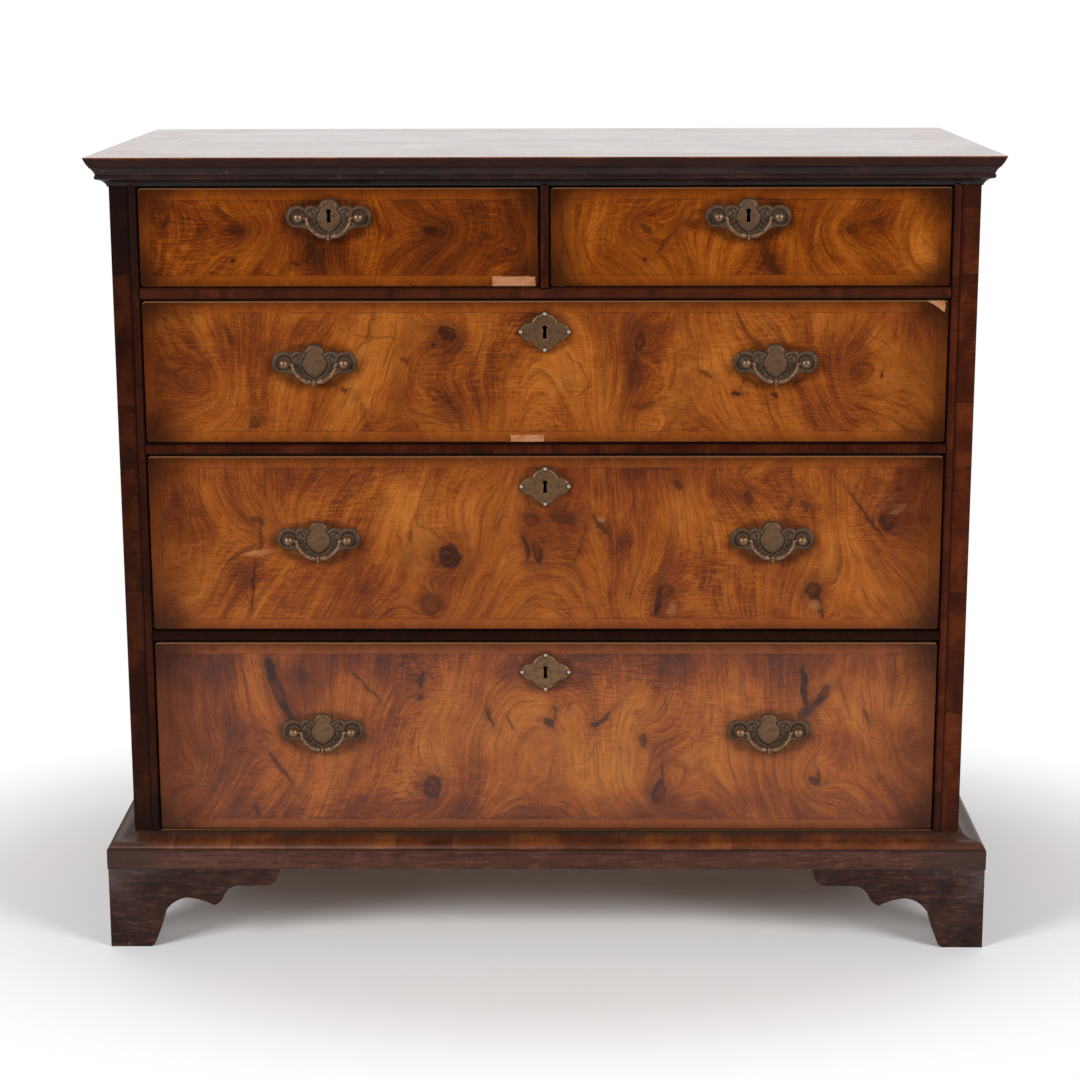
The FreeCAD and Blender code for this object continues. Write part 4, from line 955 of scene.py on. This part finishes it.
class FrontsOperator(bpy.types.Operator):
    """Veneers the five drawer fronts"""

    bl_idname = "chest.drawer_fronts"
    bl_label = "Drawer fronts"

    def execute(self, context):
        for drawer in DRAWERS:
            dress(drawer + "_front", veneer_front(drawer))
        return {"FINISHED"}


class CarcaseOperator(bpy.types.Operator):
    """Finishes the top, cornice, sides, stiles, base and feet"""

    bl_idname = "chest.carcase"
    bl_label = "Carcase"

    def execute(self, context):
        dress("top_board", top_veneer())
        dress("cornice_moulding", cornice_finish())
        dress("base_moulding", base_finish())
        dress("front_facings", facing_finish())
        side = side_finish()
        dress("side_left", side)
        dress("side_right", side)
        foot = foot_finish()
        for name in FEET:
            dress(name, foot)
            soften(name, sizes().arris)
        soften("top_board", sizes().arris)
        soften("base_moulding", sizes().arris / 2)
        return {"FINISHED"}


class LiningsOperator(bpy.types.Operator):
    """Finishes the oak drawer linings and the pine boards of the carcase"""

    bl_idname = "chest.linings"
    bl_label = "Linings and boards"

    def execute(self, context):
        frame_oak = oak_finish("oak_frame", True)
        bottom_oak = oak_finish("oak_bottom", False)
        for drawer in DRAWERS:
            dress(drawer + "_frame", frame_oak)
            dress(drawer + "_bottom", bottom_oak)
        across = pine_finish("pine_across", "x")
        for name in ("sub_top", "bottom_board", "drawer_rails"):
            dress(name, across)
        deep = pine_finish("pine_deep", "y")
        for name in ("dustboards", "partition", "drawer_guides"):
            dress(name, deep)
        dress("back_boards", pine_finish("pine_back", "z", boards=True))
        return {"FINISHED"}


def skin(build, rings):
    """Joins each ring of corners to the next with faces."""
    for one, two in zip(rings, rings[1:]):
        for k in range(len(one)):
            build.faces.new((one[k - 1], one[k], two[k], two[k - 1]))


def mesh_of(build, name):
    """The mesh of a finished build, with its faces outwards."""
    bmesh.ops.recalc_face_normals(build, faces=build.faces)
    mesh = bpy.data.meshes.new(name)
    build.to_mesh(mesh)
    build.free()
    return mesh


def nail_places():
    """Where nails hold the back boards, as x and z in millimetres: at each board's ends and up both sides."""
    for board in range(BACK_BOARDS):
        middle = back_low.x + BOARD_WIDTH * (board + 0.5)
        for z in (back_high.z - 11.0, back_low.z + 11.0):
            yield middle - BOARD_WIDTH * 0.31, z
            yield middle + BOARD_WIDTH * 0.29, z
    for x in (back_low.x + 9.0, back_high.x - 9.0):
        for step in range(1, 6):
            yield x, back_low.z + (back_high.z - back_low.z) * step / 6


def drive_nail(build, chance, x, z):
    """One nail in the back at a place in millimetres: a low head of seven sides, hammered uneven."""
    middle = Vector((x * MM, back_high.y * MM, z * MM))
    first = chance.uniform(0.0, 1.0)
    sides = 7
    rings = []
    for share, out in ((1.0, -1.0), (1.0, 0.30), (0.62, 0.75)):
        ring = []
        for k in range(sides):
            turn = first + math.tau * k / sides
            away = sizes().nail_head * share * chance.uniform(0.90, 1.06)
            lift = Vector((math.cos(turn) * away, out * MM, math.sin(turn) * away))
            ring.append(build.verts.new(middle + lift))
        rings.append(ring)
    peak = build.verts.new(middle + Vector((0.0, 1.15 * MM, 0.0)))
    build.faces.new(rings[0])
    skin(build, rings)
    for k in range(sides):
        build.faces.new((rings[-1][k - 1], peak, rings[-1][k]))


class NailsOperator(bpy.types.Operator):
    """Drives wrought nails into the back boards"""

    bl_idname = "chest.back_nails"
    bl_label = "Back nails"

    def execute(self, context):
        chance = random.Random(7)
        build = bmesh.new()
        for x, z in nail_places():
            drive_nail(build, chance, x + chance.uniform(-4.0, 4.0), z + chance.uniform(-2.0, 2.0))
        mesh = mesh_of(build, "back_nails")
        mesh.materials.append(iron_finish("iron_nails"))
        nails = placed("back_nails", mesh)
        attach(nails, "carcase")
        return {"FINISHED"}


class StageOperator(bpy.types.Operator):
    """Sets the floor, the world, the lamps and the camera"""

    bl_idname = "chest.stage"
    bl_label = "Stage"

    def execute(self, context):
        make_floor()
        make_world()
        make_lamps()
        make_camera()
        context.scene.view_settings.view_transform = "Standard"
        return {"FINISHED"}


def make_floor():
    """A pale sheet that fades into the white behind it, outside an oval round the chest."""
    half, near, far = 2.6, -1.75, 2.6
    oval_half, oval_depth = 0.86, 0.56
    mesh = bpy.data.meshes.new("studio_floor")
    corners = [(-half, near, 0), (half, near, 0), (half, far, 0), (-half, far, 0)]
    mesh.from_pydata(corners, [], [(0, 1, 2, 3)])
    f = Finish("studio_paper")
    x, y, _ = f.split(f.node("ShaderNodeTexCoord", out="Object"))
    away = f.length(f.point(x / oval_half, y / oval_depth, 0.0)).rise(0.72, 1.18)
    paper = f.node("ShaderNodeBsdfDiffuse", None, {"Color": (0.92, 0.92, 0.92, 1.0)})
    white = f.node("ShaderNodeEmission", None, {"Color": (1.0, 1.0, 1.0, 1.0), "Strength": 1.0})
    fade = away * f.seen()
    mesh.materials.append(f.end(f.node("ShaderNodeMixShader", None, {0: fade, 1: paper, 2: white})))
    floor = placed("studio_floor", mesh)


def make_world():
    """White behind the chest and to the camera, dimmer from above, and a dark room on the camera's side."""
    world = bpy.data.worlds.new("studio")
    bpy.context.scene.world = world
    f = Finish(world)
    _, y, z = f.split(f.node("ShaderNodeTexCoord", out="Generated"))
    behind = y.rise(-0.1, 0.45)
    above = z.rise(0.3, 0.9)
    camera = f.node("ShaderNodeLightPath", out="Is Camera Ray")
    shown = (f.seen() * behind).most(camera)
    shown = behind.most(above * 0.25).most(shown)
    dim, white = (
        f.node("ShaderNodeBackground", None, {"Color": (1.0, 1.0, 1.0, 1.0), "Strength": strength})
        for strength in (0.03, 1.0))
    f.end(f.node("ShaderNodeMixShader", None, {0: shown, 1: dim, 2: white}), "ShaderNodeOutputWorld")


def make_lamps():
    """A broad soft lamp on each side of the camera."""
    aim = Vector((0.0, -0.2, 0.5))
    lamps = (("lamp_left", (-3.0, -2.7, 2.1), 122.0), ("lamp_right", (3.1, -2.6, 2.0), 112.0))
    for name, spot, power in lamps:
        light = bpy.data.lights.new(name, "AREA")
        light.size = 1.6
        light.energy = power
        lamp = placed(name, light)
        lamp.location = spot
        lamp.rotation_euler = (aim - Vector(spot)).to_track_quat("-Z", "Y").to_euler()


def make_camera():
    """The photograph's camera: where it stood, how it was turned and its lens."""
    spot = (0.0234, -2.9148, 1.084)
    pitch, yaw, roll = (math.radians(angle) for angle in (12.843, 0.621, -0.160))
    forward = Vector((-math.sin(yaw) * math.cos(pitch), math.cos(yaw) * math.cos(pitch), -math.sin(pitch)))
    level = forward.cross(Vector((0, 0, 1))).normalized()
    rise = level.cross(forward)
    right = level * math.cos(roll) + rise * math.sin(roll)
    up = rise * math.cos(roll) - level * math.sin(roll)
    data = bpy.data.cameras.new("camera")
    data.sensor_width = 36.0
    data.lens = 82.77
    data.clip_end = 50.0
    camera = placed("camera", data)
    camera.matrix_world = Matrix.Translation(spot) @ Matrix((right, up, -forward)).transposed().to_4x4()
    bpy.context.scene.camera = camera


def ease(value, low, high):
    """0 at low and 1 at high, smooth between, for arrays."""
    share = np.clip((value - low) / (high - low), 0.0, 1.0)
    return share * share * (3.0 - 2.0 * share)


def dome(share, power=2):
    """The height of a round ridge at a share of its half width: 1 at its middle, 0 from its edge on."""
    return np.sqrt(np.clip(1.0 - share**power, 0.0, 1.0))


def arc(start, middle, end, step):
    """Points on the circle through three places, from just after the first to the last."""
    a, b, c = (complex(*place) for place in (start, middle, end))
    w = (c - a) / (b - a)
    centre = a + (b - a) * (w - abs(w) ** 2) / (2j * w.imag)
    spin = [np.angle((place - centre) / (a - centre)) for place in (b, c)]
    turn = spin[1] % math.tau
    if not 0 < spin[0] % math.tau < turn:
        turn -= math.tau
    count = max(2, int(abs(turn * abs(a - centre)) / step))
    swept = [centre + (a - centre) * np.exp(1j * turn * i / count) for i in range(1, count + 1)]
    return [(place.real, place.imag) for place in swept]


def lobed(top, rows, width, height, step):
    """A closed outline from the right half of its lobes, given in shares of a width and a height."""
    half = [(top[0] * width, top[1] * height)]
    for lobe in rows:
        half += arc(half[-1], *((x * width, z * height) for x, z in lobe), step)
    return half + [(-x, z) for x, z in reversed(half[1:-1])]


def round_hole(x, z, radius, count):
    """A round hole's outline."""
    turns = [math.tau * i / count for i in range(count)]
    return [(x + radius * math.cos(turn), z + radius * math.sin(turn)) for turn in turns]


def keyhole(z):
    """A keyhole's outline about a height: a round head over a slot that widens downwards."""
    radius, neck, foot, low, head = 2.7, 1.6, 2.2, -7.25, 4.55
    join = head - math.sqrt(radius**2 - neck**2)
    arch = arc((neck, join), (0.0, head + radius), (-neck, join), 0.5)
    return [(x, z + up) for x, up in [(neck, join)] + arch + [(-foot, low), (foot, low)]]


def away_from(points, chain):
    """Distance of each point from a chain of straight lines."""
    best = np.full(len(points), 1e9)
    for start, end in zip(chain[:-1], chain[1:]):
        start, end = np.array(start), np.array(end)
        along = end - start
        share = np.clip((points - start) @ along / max(along @ along, 1e-12), 0.0, 1.0)
        gap = points - start - share[:, None] * along
        best = np.minimum(best, np.hypot(gap[:, 0], gap[:, 1]))
    return best


def away_from_loop(points, loop):
    """Distance of each point from a closed loop."""
    return away_from(points, loop + loop[:1])


def inside(points, loop):
    """Which points lie inside a closed loop."""
    found = np.zeros(len(points), bool)
    x, z = points[:, 0], points[:, 1]
    for (x0, z0), (x1, z1) in zip(loop, loop[1:] + loop[:1]):
        if z0 != z1:
            crossing = (z > min(z0, z1)) & (z <= max(z0, z1))
            found ^= crossing & (x < x0 + (z - z0) * (x1 - x0) / (z1 - z0))
    return found


def on_sheet(points, loops):
    """Which points lie inside the first of the loops and in none of the holes after it."""
    found = inside(points, loops[0])
    for hole in loops[1:]:
        found &= ~inside(points, hole)
    return found


def meshed(loops, step):
    """A flat sheet of even triangles between an outline and its holes: its points and its faces."""
    corners = [place for loop in loops for place in loop]
    edges = []
    for loop in loops:
        first = len(edges)
        edges += [(first + i, first + (i + 1) % len(loop)) for i in range(len(loop))]
    low, high = np.min(corners, axis=0), np.max(corners, axis=0)
    spread = []
    for i, z in enumerate(np.arange(low[1], high[1], step * 0.866)):
        spread += [(x, z) for x in np.arange(low[0] + (i % 2) * step / 2, high[0], step)]
    spread = np.array(spread)
    near = np.min([away_from_loop(spread, loop) for loop in loops], axis=0)
    spread = spread[on_sheet(spread, loops) & (near > step * 0.55)]
    places = [Vector(place) for place in corners] + [Vector(place) for place in spread]
    flat, _, faces, *_ = delaunay_2d_cdt(places, edges, [], 0, 1e-6)
    flat = np.array([tuple(place) for place in flat])
    faces = np.array(faces)
    faces = faces[on_sheet(flat[faces].mean(axis=1), loops)]
    edge_one, edge_two = (flat[faces[:, k]] - flat[faces[:, 0]] for k in (1, 2))
    wrong = edge_one[:, 0] * edge_two[:, 1] - edge_one[:, 1] * edge_two[:, 0] < 0
    faces[wrong] = faces[wrong][:, ::-1]
    return flat, faces


def smoothed(flat, height):
    """The height of a sheet's points, evened out over the points around each."""
    level = np.zeros(len(flat))
    for first in range(0, len(flat), 400):
        gap = flat[first:first + 400, None, :] - flat[None, :, :]
        weight = np.exp(-(gap**2).sum(axis=2) / 3.2)
        level[first:first + 400] = (weight * height).sum(axis=1) / weight.sum(axis=1)
    return level


def cast(name, loops, height_at, step):
    """A casting with a flat back, from its outline and holes and the height of its face, all in millimetres.

    Its points keep how far they stand from the back, and how far above the parts around them.
    """
    flat, faces = meshed(loops, step)
    height = height_at(flat)
    count = len(flat)
    front = np.stack((flat[:, 0], -height, flat[:, 1]), axis=1)
    back = np.stack((flat[:, 0], np.zeros(count), flat[:, 1]), axis=1)
    shell = [tuple(face) for face in faces] + [tuple(face[::-1] + count) for face in faces]
    used = {(a, b): True for face in faces for a, b in zip(face, np.roll(face, -1))}
    shell += [(b, a, a + count, b + count) for a, b in used if (b, a) not in used]
    mesh = bpy.data.meshes.new(name)
    mesh.from_pydata((np.vstack((front, back)) * MM).tolist(), [], [[int(i) for i in face] for face in shell])
    mesh.shade_smooth()
    mesh.set_sharp_from_angle(angle=math.radians(38))
    crest = np.clip(0.5 + (height - smoothed(flat, height)) * 1.5, 0.0, 2.0)
    for key, values in (("relief", crest), ("stand", height)):
        store = mesh.attributes.new(key, "FLOAT", "POINT")
        store.data.foreach_set("value", np.concatenate((values, np.zeros(count))))
    return mesh


# The handle plate in millimetres about its middle on the pommel line: its outline in shares, the right half
# of its raised cartouche, its scrolls as half width, height and the points they run through, how far its
# posts are from its middle, the radius of the holes for them, and the height of its keyhole.
PLATE_SIZE = (46.5, 44.5)
PLATE_TOP = (0, 0.449)
PLATE_ROWS = (
    ((0.142, 0.411), (0.224, 0.297)), ((0.249, 0.243), (0.241, 0.198)), ((0.398, 0.283), (0.559, 0.211)),
    ((1.0, 0.007), (0.822, -0.261)), ((0.613, -0.276), (0.441, -0.342)), ((0.269, -0.485), (0.069, -0.512)),
    ((0.041, -0.544), (0, -0.551)),
)
CARTOUCHE = [
    (0, 18.6), (4.6, 17.6), (7.8, 14.9), (8.9, 11.6), (8.4, 8.4), (9.6, 5.4), (12.2, 1.8), (13.0, -2.6),
    (11.4, -7.4), (8.0, -11.6), (4.4, -14.6), (0, -16.4),
]
SCROLLS = (
    (1.5, 1.05, ((11.0, 6.6), (13.6, 9.4), (18.0, 10.6), (22.2, 9.2), (24.6, 6.0), (24.4, 2.4), (22.0, 0.6),
                 (20.0, 2.0), (20.6, 4.2))),
    (1.4, 0.95, ((12.8, -8.2), (16.2, -11.4), (20.6, -12.6), (24.8, -11.4), (26.6, -8.2), (24.6, -5.6),
                 (22.2, -6.8))),
    (1.2, 0.85, ((14.6, 4.6), (17.0, 6.6))),
    (1.2, 0.80, ((15.2, 1.2), (19.0, -0.6))),
    (1.2, 0.80, ((15.0, -2.6), (18.8, -5.6))),
    (1.1, 0.70, ((5.4, -16.6), (8.8, -15.6), (11.8, -13.6))),
)
POST_REACH = 32.5
POST_HOLE = 2.65
PLATE_KEY = 1.4

# The escutcheon in millimetres about its middle: its half width and half height, the upper right of its
# outline in shares of them, and the places and the radius of its pins.
ESCUTCHEON_SIZE = (29.0, 22.5)
ESCUTCHEON_ROWS = (
    ((0.090, 0.960), (0.150, 0.880)), ((0.330, 0.745), (0.485, 0.492)), ((0.700, 0.415), (0.880, 0.235)),
    ((0.965, 0.120), (1, 0)),
)
ESCUTCHEON_PINS = ((0.0, 19.8), (0.0, -19.8), (26.3, 0.0), (-26.3, 0.0))
PIN_RADIUS = 2.5


def plate_height(rim):
    """The height of a handle plate's face: its rim, scrolls, cartouche and the dishes for its posts."""
    def height_at(points):
        folded = np.stack((np.abs(points[:, 0]), points[:, 1]), axis=1)
        edge = away_from_loop(points, rim)
        height = 0.45 + 0.45 * ease(edge, 0.0, 0.9) + 0.62 * dome((edge - 1.5) / 1.3)
        for width, top, chain in SCROLLS:
            height = np.maximum(height, 0.75 + top * dome(away_from(folded, chain) / width))
        shield = CARTOUCHE + [(-x, z) for x, z in reversed(CARTOUCHE[1:-1])]
        depth = away_from_loop(points, shield) * np.where(inside(points, shield), 1.0, -1.0)
        table = 2.0 + 0.35 * (1.0 - (folded[:, 0] / 13.0) ** 2)
        height += (table - height) * ease(depth, -0.5, 0.9)
        height -= 0.35 * ease(np.abs(depth + 1.2), 1.0, 0.2)
        reach = np.hypot(folded[:, 0] - POST_REACH - 0.8, folded[:, 1] + 0.3)
        dish = 0.50 + 0.35 * (reach / 9.0) ** 2
        height += (dish - height) * ease(reach, 9.6, 8.4)
        height = np.maximum(height, 0.6 + 1.15 * dome((reach - 9.9) / 1.4))
        post = np.hypot(folded[:, 0] - POST_REACH, folded[:, 1])
        height += (1.58 - height) * ease(post, 6.0, 4.8)
        return np.clip(height, 0.4, 2.4)
    return height_at


def escutcheon_height(rim):
    """The height of an escutcheon's face: a bevelled rim, a lip round its keyhole and four round pins."""
    def height_at(points):
        edge = away_from_loop(points, rim)
        height = 0.55 + 0.95 * ease(edge, 0.0, 1.3) + 0.10 * ease(np.abs(edge - 1.7), 0.9, 0.0)
        height += 0.25 * ease(away_from_loop(points, keyhole(0.0)), 1.4, 0.5)
        for x, z in ESCUTCHEON_PINS:
            share = np.hypot(points[:, 0] - x, points[:, 1] - z) / PIN_RADIUS
            height = np.where(share > 1, height, np.maximum(height, 1.5 + 1.5 * dome(share)))
        return height
    return height_at


def bail_line():
    """The middle line of a bail's right half in millimetres about its pivot, from its middle to its end."""
    drop, shoulder, corner, half = 20.5, 3.0, 11.0, 23.4
    depth = drop - shoulder
    bow = (half**2 - 2 * half * corner + depth**2) / (2 * (depth - corner))
    angle = math.atan2(-shoulder - bow + drop, half - corner)
    bends = (
        (0.0, bow - drop, bow, -math.pi / 2, angle, 28),
        (half - corner, -shoulder, corner, angle, 0.0, 16),
        (half + shoulder, -shoulder, shoulder, math.pi, math.pi / 2, 8),
    )
    line = [(0.0, -drop)]
    for x, z, radius, first, last, count in bends:
        for i in range(1, count + 1):
            turn = first + (last - first) * i / count
            line.append((x + radius * math.cos(turn), z + radius * math.sin(turn)))
    return line


def bail_radius(along):
    """The radius of a bail at a distance from its middle: a disc, a fillet, a swelling and a ring."""
    disc = 5.3 * dome(along / 2.1, 4)
    fillet = 3.3 * dome((along - 3.1) / 1.5)
    swell = 1.75 + 1.35 * math.exp(-(((along - 8.5) / 4.6) ** 2))
    ring = 2.5 * dome((along - 19.5) / 1.3)
    return float(max(disc, fillet, swell, ring))


def bail_mesh(name):
    """A swelled bail with a disc at its middle, a ring on each arm and a pintle at each end."""
    line = bail_line()
    marks = np.cumsum([0.0] + [math.dist(a, b) for a, b in zip(line, line[1:])])
    coarse_from, fine_step, coarse_step = 5.4, 0.14, 0.45
    fine = np.arange(0.0, coarse_from, fine_step)
    stops = np.concatenate((fine, np.arange(coarse_from, marks[-1], coarse_step)))
    xs, zs = (np.interp(stops, marks, row) for row in zip(*line))
    right = [(x, z, bail_radius(along)) for x, z, along in zip(xs, zs, stops)]
    end_x, end_z = line[-1]
    # The first ring of the pintle is doubled, so that the rings after it turn square to the pintle.
    pintle = ((0.0, 1.5), (0.0, 1.5), (3.9, 1.5), (4.0, 1.3))
    right += [(end_x + out, end_z, radius) for out, radius in pintle]
    chain = [(-x, z, radius) for x, z, radius in reversed(right[1:])] + right
    build = bmesh.new()
    count = 24
    rings = []
    for i, (x, z, radius) in enumerate(chain):
        before, after = chain[max(i - 2, 0)], chain[min(i + 2, len(chain) - 1)]
        along = Vector((after[0] - before[0], 0.0, after[1] - before[1])).normalized()
        out = Vector((-along.z, 0.0, along.x))
        ring = []
        for k in range(count):
            turn = math.tau * k / count
            away = out * (radius * math.cos(turn)) + Vector((0.0, radius * math.sin(turn), 0.0))
            ring.append(build.verts.new((Vector((x, 0.0, z)) + away) * MM))
        rings.append(ring)
    skin(build, rings)
    build.faces.new(reversed(rings[0]))
    build.faces.new(rings[-1])
    mesh = mesh_of(build, name)
    mesh.shade_smooth()
    mesh.set_sharp_from_angle(angle=math.radians(48))
    return mesh


def escutcheon_rim(step):
    """The whole outline of an escutcheon from its upper right."""
    half = lobed((0, 1), ESCUTCHEON_ROWS, *ESCUTCHEON_SIZE, step)
    right = half[:half.index(max(half)) + 1]
    rim = right + [(x, -z) for x, z in reversed(right[:-1])]
    return rim + [(-x, z) for x, z in reversed(rim[1:-1])]


def fix(name, mesh, body, place, node):
    """Puts a brass in place of a CAD node, in millimetres, on the body that it moves with."""
    piece = placed(name, mesh)
    piece.location = Vector(place) * MM
    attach(piece, body)
    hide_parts(node)


class BrassOperator(bpy.types.Operator):
    """Casts the handle plates, bails and escutcheons, and finishes the posts"""

    bl_idname = "chest.brasses"
    bl_label = "Brasses"

    def execute(self, context):
        step = sizes().relief_step / MM
        rim = lobed(PLATE_TOP, PLATE_ROWS, *PLATE_SIZE, step)
        posts = [round_hole(side * POST_REACH, 0.0, POST_HOLE, 20) for side in (-1, 1)]
        plain = cast("plate_plain", [rim] + posts, plate_height(rim), step)
        keyed = cast("plate_keyed", [rim] + posts + [keyhole(PLATE_KEY)], plate_height(rim), step)
        border = escutcheon_rim(step)
        shield = cast("escutcheon_cast", [border, keyhole(0.0)], escutcheon_height(border), step)
        bail = bail_mesh("bail_cast")
        plate_brass = brass_finish("brass_plates", True, grime=0.62)
        plain.materials.append(plate_brass)
        keyed.materials.append(plate_brass)
        shield.materials.append(brass_finish("brass_escutcheons", True))
        smooth = brass_finish("brass_smooth", False)
        bail.materials.append(smooth)
        for drawer in DRAWERS:
            dress(drawer + "_posts", smooth)
            long = drawer in LONG_DRAWERS
            for word, (x, z) in zip(("_left", "_right"), handle_places(drawer)):
                ending = word if long else ""
                mesh = plain if long else keyed
                fix(f"{drawer}_plate{ending}_cast", mesh, drawer, (x, FACE_Y, z), drawer + "_plates")
                pivot = drawer + "_bail" + ending
                fix(f"{pivot}_cast", bail, pivot, (x, FACE_Y - BAIL_STAND, z), pivot)
            if long:
                x, z = key_place(drawer)
                fix(f"{drawer}_escutcheon_cast", shield, drawer, (x, FACE_Y, z), drawer + "_plates")
        return {"FINISHED"}


class LocksOperator(bpy.types.Operator):
    """Finishes the locks and bolts"""

    bl_idname = "chest.locks"
    bl_label = "Locks and bolts"

    def execute(self, context):
        iron = iron_finish("iron_locks")
        for drawer in DRAWERS:
            dress(drawer + "_lock", iron)
            dress(drawer + "_bolt", iron)
        return {"FINISHED"}


class ChestPanel(bpy.types.Panel):
    """Lists the steps that dress the chest"""

    bl_idname = "VIEW3D_PT_chest"
    bl_label = "Chest of drawers"
    bl_space_type = "VIEW_3D"
    bl_region_type = "UI"
    bl_category = "Chest"

    def draw(self, context):
        for step in STEPS:
            self.layout.operator(step.bl_idname)
        for group in (context.scene.chest_sizes, context.scene.chest_colours):
            column = self.layout.column()
            for key in group.__annotations__:
                column.prop(group, key)


STEPS = (
    FrontsOperator, CarcaseOperator, LiningsOperator, BrassOperator, LocksOperator, NailsOperator,
    StageOperator,
)
CLASSES = (Sizes, Colours) + STEPS + (ChestPanel,)


def register():
    for item in CLASSES:
        bpy.utils.register_class(item)
    bpy.types.Scene.chest_sizes = bpy.props.PointerProperty(type=Sizes)
    bpy.types.Scene.chest_colours = bpy.props.PointerProperty(type=Colours)


def unregister():
    del bpy.types.Scene.chest_colours
    del bpy.types.Scene.chest_sizes
    for item in reversed(CLASSES):
        bpy.utils.unregister_class(item)


def main():
    register()
    bpy.ops.chest.drawer_fronts()
    bpy.ops.chest.carcase()
    bpy.ops.chest.linings()
    bpy.ops.chest.brasses()
    bpy.ops.chest.locks()
    bpy.ops.chest.back_nails()
    bpy.ops.chest.stage()


if __name__ == "__main__":
    main()
